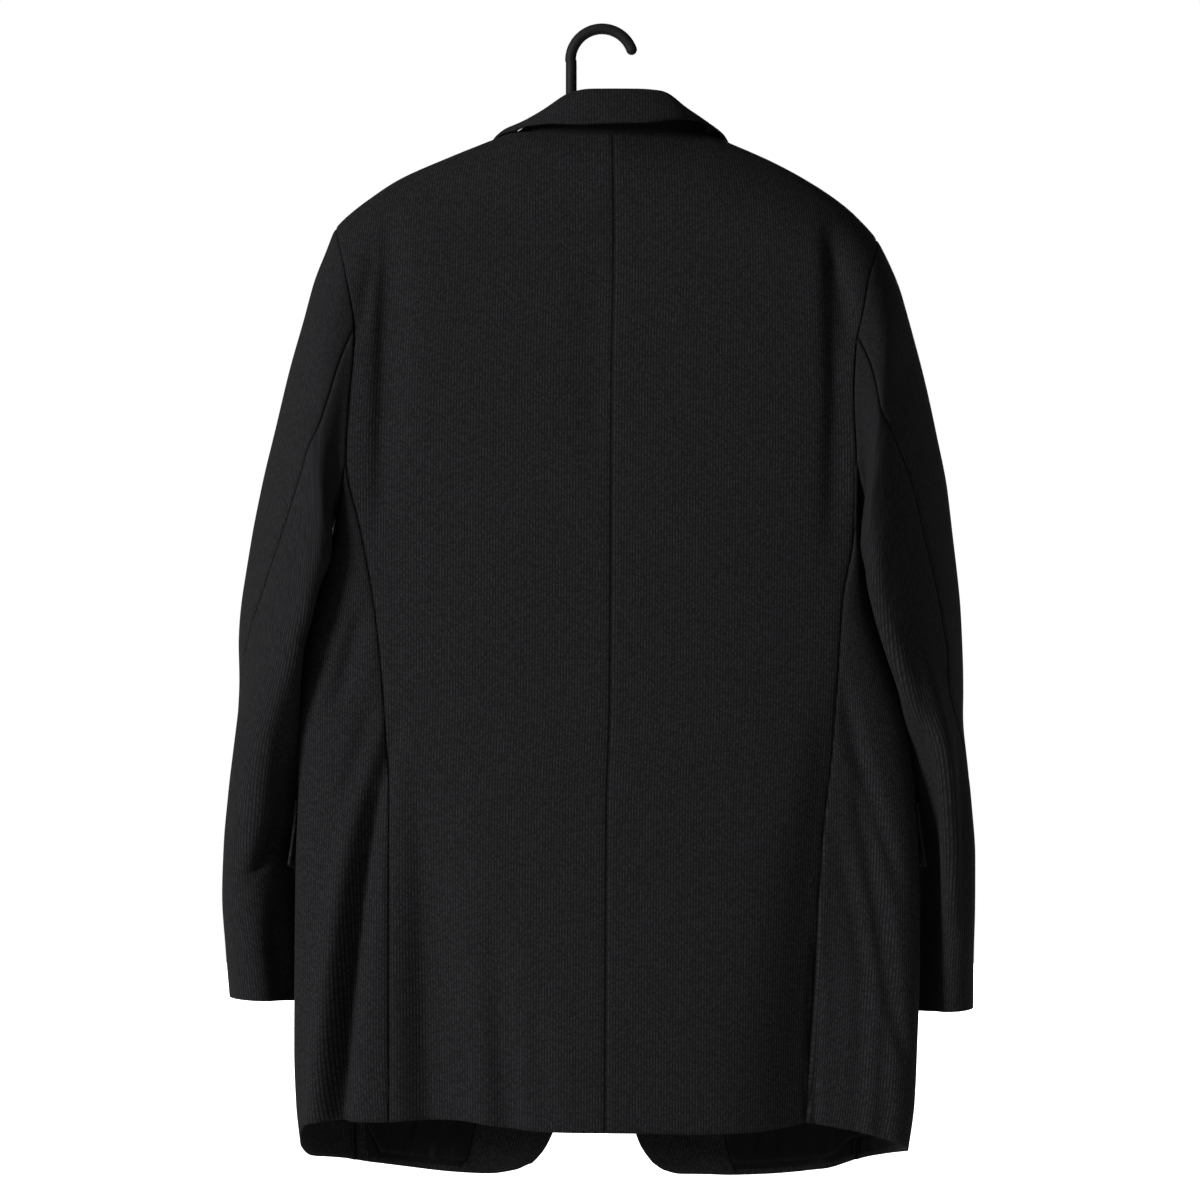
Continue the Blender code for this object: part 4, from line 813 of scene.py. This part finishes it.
def makeBody():
    borders = {"back": ((1, 0), (1, -1)), "side": ((1, 0), (1, -1)), "front": ((1, 0),)}
    breakRow = int(np.searchsorted(bodyRows, lapel["breakRow"]))
    for side in sides:
        for part, lines in borders.items():
            key = f"{part}_{side}"
            points, near = pressed(skin[key], normals[key], lines)
            if key == "back_right":
                points[:, 0, 0] += backLap
            length = run(points, 0)
            reach = sides[side] * (points[..., 0] - centreX)
            turned = np.where(reach > hemTurn["sideReach"][side], hemTurn["side"][side], hemTurn["strip"])
            # inside faces: wool in the turned-up hem, lining above it; on a front, wool again above the roll
            woolInside = (length[-1:] - length < turned)[:-1, :-1]
            if part == "front":
                woolInside[:breakRow] = True
            piece = sheetPiece(
                key + "Cloth", points, normals[key], ["wool", "satin", "wool", "wool"], bodyCloth["wall"],
                threads=grain(key), seams=near, innerPaint=2 * woolInside,
            )
            width, length, area = cuts[part]
            dress(piece, key, "wool", flat=(width, length), area=area, rests_on=["hanger_arms"])


def makeSleeves():
    at = {place: int(np.argmin(np.abs(places - place))) for place in (hindSeam, frontSeam)}
    under = np.arange(at[hindSeam], at[frontSeam] + 1)
    top = np.concatenate([np.arange(at[frontSeam], len(places) - 1), np.arange(0, at[hindSeam] + 1)])
    for side in sides:
        key = "sleeve_" + side
        threads = grain(key)
        for part, chosen in (("Under", under), ("Top", top)):
            cloth, near = pressed(skin[key][:, chosen], normals[key][:, chosen], ((0, 0), (1, 0), (1, -1)))
            piece = sheetPiece(
                f"sleeve{part}_{side}Cloth", cloth, normals[key][:, chosen], ["wool", "satin"], bodyCloth["wall"],
                threads=tuple(each[:, chosen] for each in threads), seams=near,
            )
            width, length, area = cuts["sleeve" + part]
            node = f"sleeve_{part.lower()}_{side}"
            dress(piece, node, "wool", flat=(width, length), area=area, rests_on=[f"back_{side}", f"front_{side}"])


print("cutting the body")
makeBody()
print("setting the sleeves")
makeSleeves()


def laid(key, row, column, gap):
    # points that rest on a panel: gap is how far in front of its outer face
    row, column, gap = np.broadcast_arrays(row, column, gap)
    base, normal = sample(key, row, column)
    return base + normal * gap[..., None], normal


lapelEdge = table(
    "row share", (3.4, 0.57), (5, 0.56), (7, 0.53), (9, 0.44), (11, 0.27), (12.3, 0.10), (13, 0.03)
)


def acrossToColumn(across):
    share = mix(columnShare[neckColumn], 1.0, across)
    return backColumn - np.interp(share, columnShare, np.arange(backColumn + 1))


def makeLapels():
    u, v = np.meshgrid(np.linspace(0, 1, 12 * detail), np.linspace(0, 1, 40 * detail))
    for side in sides:
        widest = acrossToColumn(lapelEdge["share"][0])
        topRow = lapel["gorgeRow"] + lapel["gorgeSlope"] * (frontColumn - widest) * u + 0.02
        row = mix(topRow, lapel["breakRow"] - 0.1, v)
        column = acrossToColumn(u * read(lapelEdge, "share", row))
        roll = lapel["roll"] * np.sin(np.pi * u) * np.sin(np.pi * np.clip(0.15 + v * 0.8, 0, 1))
        column = np.minimum(column, frontColumn - lapel["edgeClear"])
        points, normal = laid("front_" + side, row, column, lapel["rest"] + roll)
        piece = sheetPiece(f"lapel_{side}Cloth", points + normal * lapel["wall"], normal, "wool", lapel["wall"])
        dress(piece, "lapel_" + side, "wool", flat=(0.12, 0.46), area=0.028, rests_on=["front_" + side])


inside = {
    "gap": 0.6, "wall": 0.8, "facingTop": 13.2, "facingColumn": 5, "edgeClear": 0.03,
    "pleatDepth": 2.2, "pleatWidth": 17.0, "finePleat": 9.3, "pleatSpread": 57.0, "pleatRows": (16.0, 23.5),
    "hemStrip": 0.24, "sideStrip": {"left": 0.95, "right": 0.5},
}


def makeInsides():
    # facings and linings hang inside the fronts; the linings hold soft pleats above the hem
    for side in sides:
        key = "front_" + side
        rows = np.linspace(inside["facingTop"], hemRow - inside["edgeClear"], 60 * detail)[:, None]
        columns = np.linspace(inside["facingColumn"] + 0.01, frontColumn - inside["edgeClear"], 14 * detail)[None, :]
        behind = -(bodyCloth["wall"] + inside["gap"] + inside["wall"])
        points, normal = laid(key, rows, columns, behind)
        piece = sheetPiece(f"facing_{side}Cloth", points, -normal, "wool", inside["wall"])
        dress(piece, "facing_" + side, "wool", flat=(0.11, 0.42), area=0.035, rests_on=[key])
        half = sideColumn // 2
        beltColumns = np.linspace(0.2, half + inside["facingColumn"] - 0.01, 40 * detail)
        share, column = np.meshgrid(np.linspace(0, 1, 60 * detail), beltColumns, indexing="ij")
        # its lower edge lies above the turned-up hem, higher at the side
        ends = hemRow - mix(inside["sideStrip"][side], inside["hemStrip"], ease(column, half + 0.2, half + 1.0))
        row = mix(armRow + 1.0, ends, share)
        low = ease(row, *inside["pleatRows"])
        points, normal = beltPoints(side, row, column, np.full(row.shape, behind))
        spot = points[..., 0] + 0.2 * points[..., 2]
        pleat = np.sin(spot / inside["pleatWidth"] * 2 * np.pi)
        pleat = pleat + 0.5 * np.sin(spot / inside["finePleat"] * 2 * np.pi + row * 0.3)
        pleat = pleat * (0.35 + 0.65 * np.sin(spot / inside["pleatSpread"] * 2 * np.pi + 0.8) ** 2)
        points = points - normal * (inside["pleatDepth"] * low * (0.8 + 0.6 * pleat))[..., None]
        piece = sheetPiece(f"lining_front_{side}Cloth", points, -normal, "satin", inside["wall"])
        dress(piece, "lining_front_" + side, "satin", flat=(0.30, 0.56), area=0.103, rests_on=[key])


def beltPoints(side, row, column, gap):
    # the side panel's front half and the front panel as one belt, counted from the side
    half = sideColumn // 2
    onSide, onFront = np.minimum(column + half, sideColumn), np.maximum(column - half, 0.0)
    sideHit, sideNormal = laid("side_" + side, row, onSide, gap)
    frontHit, frontNormal = laid("front_" + side, row, onFront, gap)
    front = (column > half)[..., None]
    return np.where(front, frontHit, sideHit), unit(np.where(front, frontNormal, sideNormal))


vent = {"topRow": 16.67, "columns": 2.6, "gap": 0.4}


def makeVent():
    rows = np.linspace(vent["topRow"], hemRow - 0.05, 40 * detail)[:, None]
    columns = np.linspace(0.02, vent["columns"], 10 * detail)[None, :]
    points, normal = laid("back_left", rows, columns, -(bodyCloth["wall"] + vent["gap"]))
    piece = sheetPiece("vent_underlapCloth", points, normal, "wool", bodyCloth["wall"])
    dress(piece, "vent_underlap", "wool", flat=(0.045, 0.29), area=0.012, rests_on=["back_left"])


flap = {"rows": (15.7, 17.25), "columns": (0.1, 6.4), "wall": 2.2, "rest": 0.8, "flare": 4.0}


def makeFlaps():
    rows, columns = np.linspace(*flap["rows"], 10 * detail), np.linspace(*flap["columns"], 30 * detail)
    row, column = np.meshgrid(rows, columns, indexing="ij")
    v = (row - rows[0]) / (rows[-1] - rows[0])
    flare = flap["rest"] + flap["flare"] * v**2 * (1 - 0.7 * ease(column, 0.5, 3.0)) + flap["wall"]
    for side in sides:
        points, normal = beltPoints(side, row, column, flare)
        piece = sheetPiece(f"flap_{side}Cloth", points, normal, "wool", flap["wall"])
        dress(piece, "flap_" + side, "wool", flat=(0.19, 0.058), area=0.0107, rests_on=["front_" + side])


# The collar: its roll line and the leaf's edge by place along the neckline (0 = centre back, 4 = shoulder)
collarLine = table(
    "place leftRoll leftCrown rightRoll rightCrown rollDepth edgeReach edgeDepth leftEdge rightEdge",
    (0, 0, 48.2, 0, 48.2, 43, 0, 68, 78.4, 78.4), (1, 18, 48.2, 20, 48.2, 42, 28, 66, 79.2, 77.6),
    (2, 33.5, 50.4, 40, 49.2, 36, 55, 55, 77.6, 73.6), (3, 51.5, 62, 55.5, 61, 23, 72, 34, 77.6, 73.2),
    (3.5, 63, 68.5, 65, 68, 13, 79.5, 26, 79.6, 76.2), (4, 75, 74.5, 75, 74.5, 1, 88, 8, 80.4, 79.8),
)
leafFront = table(
    "place rollRow edgeRow edgeColumn",
    (4, 0.0, 0.0, 7.3), (5, 0.6, 0.75, 6.9), (6, 1.3, 1.6, 6.45), (7, 2.0, 2.5, 6.0), (8, 2.56, 3.0, 5.7),
)
collar = {
    "wall": 2.2, "standPlaces": 4.0, "standClear": 1.2, "standFoot": 2.0, "bulge": 2.0, "blend": (3.3, 4.6),
}
leafLie = ((-0.06, 1.6), (0.0, 2.2), (0.14, 3.0), (0.42, 4.0), (0.72, 3.4), (1.0, 1.8))  # share across, rise


def onCollar(side, kind, place):
    names = {"roll": (side + "Roll", "rollDepth", side + "Crown"), "edge": ("edgeReach", "edgeDepth", side + "Edge")}
    return placed(side, *(read(collarLine, name, place) for name in names[kind]), 0.0)


def neckWards(side, place):
    line = onCollar(side, "roll", np.minimum(place, neckColumn))
    return unit((np.array([centreX, -10.0, 0.0]) - line) * np.array([1.0, 1.0, 0.0]))


def bothSides(left, right):
    return np.concatenate([right[:0:-1], left])


def leafGrid(side):
    place = np.concatenate([np.linspace(0, neckColumn, 17), np.linspace(4.25, 8, 16)])
    wards, crown, rim = neckWards(side, place), onCollar(side, "roll", place), onCollar(side, "edge", place)
    # over the roll and down to the edge, behind the neck
    over = crown - wards * 4.2 - upWay * 1.2
    hang = [crown + wards * 5.0 - upWay * 2.2, crown + wards * 2.0, over]
    for share in (0.35, 0.7, 1.0):
        swell = collar["bulge"] * math.sin(math.pi * share) * np.abs(unit(rim - crown)[..., ::-1])
        hang.append(mix(over, rim, share) + swell * (upWay + backWay))
    frontPlace = np.maximum(place, neckColumn)
    rollRow, edgeRow, edgeColumn = (
        read(leafFront, name, frontPlace) for name in ("rollRow", "edgeRow", "edgeColumn")
    )
    # laid on the fronts, below the shoulders
    lie = []
    for share, rise in leafLie:
        within = max(share, 0.0)
        column = mix(frontColumn - 0.01, edgeColumn, within)
        points, _ = laid("front_" + side, mix(rollRow, edgeRow, within), column, collar["wall"] + rise)
        lie.append(points + wards * (2.0 if share < 0 else 0.0))
    return mix(np.stack(hang, axis=1), np.stack(lie, axis=1), ease(place, *collar["blend"])[:, None, None])


def makeCollar():
    stand = {}
    place = np.linspace(0, collar["standPlaces"], 12 * detail)
    for side in sides:
        seam, _ = sample("back_" + side, 0 * place, place)
        top = onCollar(side, "roll", place) - upWay * (collar["wall"] + collar["standClear"])
        foot, share = seam - upWay * collar["standFoot"], np.linspace(0, 1, 5 * detail)
        stand[side] = mix(foot[:, None], top[:, None], share[None, :, None])
    points = bothSides(stand["left"], stand["right"])
    away = np.zeros_like(points) + backWay
    piece = sheetPiece("undercollarFelt", points, away, "felt", collar["wall"], turn=True)
    dress(piece, "undercollar", "felt", flat=(0.16, 0.045), area=0.0053, rests_on=["back_left", "back_right"])
    points = bothSides(leafGrid("left"), leafGrid("right"))
    piece = sheetPiece(
        "top_collarCloth", points, gridNormals(points) * collarFacing(points), "wool", collar["wall"],
        threads=threadLines(points, startRow=points.shape[0] // 2), turn=True,
    )
    soft = piece.modifiers.new("softRoll", "SUBSURF")
    soft.levels = soft.render_levels = 2
    soft.boundary_smooth = "PRESERVE_CORNERS"
    piece.modifiers.move(1, 0)
    dress(
        piece, "top_collar", "wool", flat=(0.34, 0.06), area=0.0146,
        rests_on=["undercollar", "front_left", "front_right"],
    )


def collarFacing(points):
    middle = gridNormals(points)[points.shape[0] // 2, 3]
    return -1.0 if middle @ (backWay + 0.5 * upWay) < 0 else 1.0


# Buttons and hanger
def circleTurns(count):
    return np.arange(count) * 2 * np.pi / count


def turnedRings(profile, count, centre, axis):
    axis = unit(np.asarray(axis, float))
    first = unit(np.cross(axis, upWay))
    angle = circleTurns(count)
    circle = np.cos(angle)[:, None] * first + np.sin(angle)[:, None] * np.cross(axis, first)
    return [centre + axis * height + circle * radius for radius, height in profile]


def closedRings(name, rings, finish):
    count = len(rings[0])
    points = np.concatenate([*rings, rings[0].mean(axis=0)[None], rings[-1].mean(axis=0)[None]])
    start, end, last = len(points) - 2, len(points) - 1, (len(rings) - 1) * count
    faces = []
    for j in range(count):
        k = (j + 1) % count
        faces += [(low + j, low + k, low + count + k, low + count + j) for low in range(0, last, count)]
        faces += [(start, k, j), (end, last + j, last + k)]
    corners = np.array([face[:3] for face in faces])
    if np.linalg.det(points[corners] - points.mean(axis=0)).sum() < 0:
        faces = [face[::-1] for face in faces]
    return newPiece(name, points, faces, finish)


button = {
    "rows": (13.4, 16.4), "column": 7.43, "rest": 0.7, "sides": 48, "holeReach": 2.2, "holeRadius": 0.9,
    "threadRadius": 0.45, "threadLow": 2.6, "threadHigh": 3.75,
}
buttonProfile = (
    (8.2, 0.0), (9.4, 0.25), (9.95, 0.9), (10.0, 1.8), (9.9, 2.7), (9.5, 3.3), (8.9, 3.6), (8.2, 3.55),
    (7.6, 3.2), (7.1, 2.75), (6.2, 2.6), (3.0, 2.55),
)


def makeButtons():
    for number, row in enumerate(button["rows"]):
        centre, axis = sample("front_left", np.array(row), np.array(button["column"]))
        rings = turnedRings(buttonProfile, button["sides"], centre + axis * button["rest"], axis)
        disc = closedRings(f"button_{number + 1}Horn", rings, "horn")
        first = unit(np.cross(axis, upWay))
        second = np.cross(axis, first)
        for hole in range(4):
            turn = math.radians(45 + 90 * hole)
            middle = centre + (first * math.cos(turn) + second * math.sin(turn)) * button["holeReach"]
            profile = ((button["holeRadius"], -2.0), (button["holeRadius"], 8.0))
            cutter = closedRings("buttonHole", turnedRings(profile, 16, middle, axis), "horn")
            cut = disc.modifiers.new("hole", "BOOLEAN")
            cut.object, cut.operation, cut.solver = cutter, "DIFFERENCE", "EXACT"
            with bpy.context.temp_override(object=disc, active_object=disc):
                bpy.ops.object.modifier_apply(modifier=cut.name)
            bpy.data.objects.remove(cutter)
        disc.data.set_sharp_from_angle(angle=math.radians(50))
        dress(disc, f"button_{number + 1}", "horn")
        # thread in two bars through the holes
        stops, turns = np.linspace(0, 3, 10)[:, None], (0, 1, 2, 3)
        low, high = button["threadLow"], button["threadHigh"]
        way = np.interp(stops, turns, (-1, -0.6, 0.6, 1))
        height = np.interp(stops, turns, (low, high, high, low))
        for bar in (1, -1):
            path = centre + axis * height + (first * way + second * bar) * button["holeReach"] * math.sqrt(0.5)
            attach(tubePiece(f"button_{number + 1}Thread{bar + 2}", path, button["threadRadius"], 8, "felt"), "root")


def tubePiece(name, path, radius, count, finish):
    along = unit(np.gradient(path, axis=0))
    first = unit(np.cross(along, upWay))
    second = np.cross(along, first)
    angle = circleTurns(count)[None, :, None]
    rings = path[:, None] + radius * (np.cos(angle) * first[:, None] + np.sin(angle) * second[:, None])
    return closedRings(name, list(rings), finish)


hook = {
    "wire": 9.0, "inner": 21.3, "tipTurn": 160.0, "shaftReach": 25.2, "shaftEnd": 67.6, "sides": 32,
    "tipBends": (84, 70, 52, 34, 17),
}
arms = {"reach": 204.0, "clear": 6.2, "sections": 61, "sides": 28}
armTop = table("reach drop", (0, 66), (25, 67.5), (50, 74), (80, 87.5))
armSize = table("reach halfHigh halfDeep", (0, 8, 7), (60, 8, 8), (130, 7, 11), (185, 7, 13), (204, 6, 11))


def makeHanger():
    middle = hook["inner"] + hook["wire"] / 2
    turn = np.radians(np.linspace(hook["tipTurn"], 0.0, 60))
    arc = np.stack([middle * np.cos(turn), 0 * turn, -hook["inner"] + middle * np.sin(turn)], axis=1)
    drops = np.linspace(hook["inner"] + 1, hook["shaftEnd"], 14)
    shaft = np.stack([np.full(len(drops), hook["shaftReach"]), 0 * drops, -drops], axis=1)
    path = np.concatenate([arc, shaft])
    along = unit(np.gradient(path, axis=0))
    angle = circleTurns(hook["sides"])[:, None]
    rings = []
    # the tip is rounded off, then the wire keeps its size
    bends = [(math.sin(bend), math.cos(bend)) for bend in map(math.radians, hook["tipBends"])]
    stations = [(path[0] - along[0] * hook["wire"] / 2 * back, along[0], size) for back, size in bends]
    stations += [(point, way, 1.0) for point, way in zip(path, along)]
    for point, way, size in stations:
        other = unit(np.cross(way, backWay))
        rings.append(point + size * hook["wire"] / 2 * (np.cos(angle) * backWay + np.sin(angle) * other))
    dress(closedRings("hanger_hookMoulded", rings, "moulding"), "hanger_hook", "moulding")
    rings = []
    angle = circleTurns(arms["sides"])
    for place in np.linspace(-arms["reach"], arms["reach"], arms["sections"]):
        side, reach = ("left", place) if place > 0 else ("right", -place)
        ridge = float(read(shoulder, side, reach)) + arms["clear"]
        top = mix(float(read(armTop, "drop", reach)), ridge, float(ease(reach, 50, 80)))
        high, deep = (float(read(armSize, name, reach)) for name in ("halfHigh", "halfDeep"))
        ring = np.stack([0 * angle, deep * np.cos(angle), high * np.sin(angle)], axis=1)
        rings.append(ring + np.array([centreX + place, 0.0, -(top + high)]))
    dress(closedRings("hanger_armsMoulded", rings, "moulding"), "hanger_arms", "moulding")


print("lapels, facings and linings")
makeLapels()
makeInsides()
makeVent()
makeFlaps()
print("collar")
makeCollar()
print("buttons and hanger")
makeButtons()
makeHanger()


# Studio
studio = {
    "floorDrop": 985.0, "floorSize": 6.0, "paper": 0.86, "seenGlow": 1.3, "paperGlow": 0.09, "room": 0.06,
    "cameraX": 1.64, "cameraBack": 4000.0, "cameraDrop": 463.8, "lens": 146.34,
}
# each lamp: place in metres, size, power
lamps = {
    "keyLight": ((5.0, 4.2, 0.9), 1.6, 420.0),
    "fillLight": ((-2.4, 5.0, 0.6), 3.0, 4.0),
    "topLight": ((0.6, 0.8, 2.4), 1.8, 9.0),
    "frontLight": ((-0.4, -4.6, 0.5), 1.3, 190.0),
}


def makeStudio():
    # the paper looks white, and lights the cloth more softly than it looks
    paper, tree, shader = newFinish("studioPaper", {"Roughness": 0.9, "Emission Color": (1.0, 1.0, 1.0, 1.0)})
    seen = add(tree, "ShaderNodeLightPath").outputs["Is Camera Ray"]
    tree.links.new(spread(tree, seen, studio["paperGlow"], studio["seenGlow"]), shader.inputs["Emission Strength"])
    fibre = speckle(tree, solidPlace(tree), 60.0, 3.0)
    tree.links.new(spread(tree, fibre, studio["paper"] - 0.01, studio["paper"] + 0.01), shader.inputs["Base Color"])
    half, floorZ = studio["floorSize"] / 2, -studio["floorDrop"] * mm
    mesh = bpy.data.meshes.new("floor")
    corners = [(-half, -half, floorZ), (half, -half, floorZ), (half, half, floorZ), (-half, half, floorZ)]
    mesh.from_pydata(corners, [], [(0, 1, 2, 3)])
    mesh.materials.append(paper)
    floor = bpy.data.objects.new("floor", mesh)
    bpy.context.collection.objects.link(floor)
    # the room too looks white and lights softly
    world = bpy.data.worlds.new("softRoom")
    world.use_nodes = True
    tree = world.node_tree
    direct = add(tree, "ShaderNodeLightPath").outputs["Is Camera Ray"]
    backdrop = tree.nodes["Background"].inputs
    backdrop["Color"].default_value = (1.0, 1.0, 1.0, 1.0)
    tree.links.new(spread(tree, direct, studio["room"], 1.0), backdrop["Strength"])
    bpy.context.scene.world = world
    for name, (place, size, power) in lamps.items():
        lamp = bpy.data.lights.new(name, "AREA")
        lamp.energy, lamp.size = power, size
        light = bpy.data.objects.new(name, lamp)
        light.location = place
        aim = Vector((0.0, 0.0, -0.45)) - Vector(place)
        light.rotation_mode = "QUATERNION"
        light.rotation_quaternion = aim.to_track_quat("-Z", "Y")
        bpy.context.collection.objects.link(light)
    lens = bpy.data.cameras.new("camera")
    lens.lens, lens.sensor_width = studio["lens"], 36.0
    lens.clip_start, lens.clip_end = 0.1, 50.0
    camera = bpy.data.objects.new("camera", lens)
    camera.location = (studio["cameraX"] * mm, studio["cameraBack"] * mm, -studio["cameraDrop"] * mm)
    camera.rotation_euler = (math.radians(90), 0.0, math.radians(180))
    bpy.context.collection.objects.link(camera)
    bpy.context.scene.camera = camera
    bpy.context.scene.view_settings.view_transform = "Standard"


print("studio")
makeStudio()
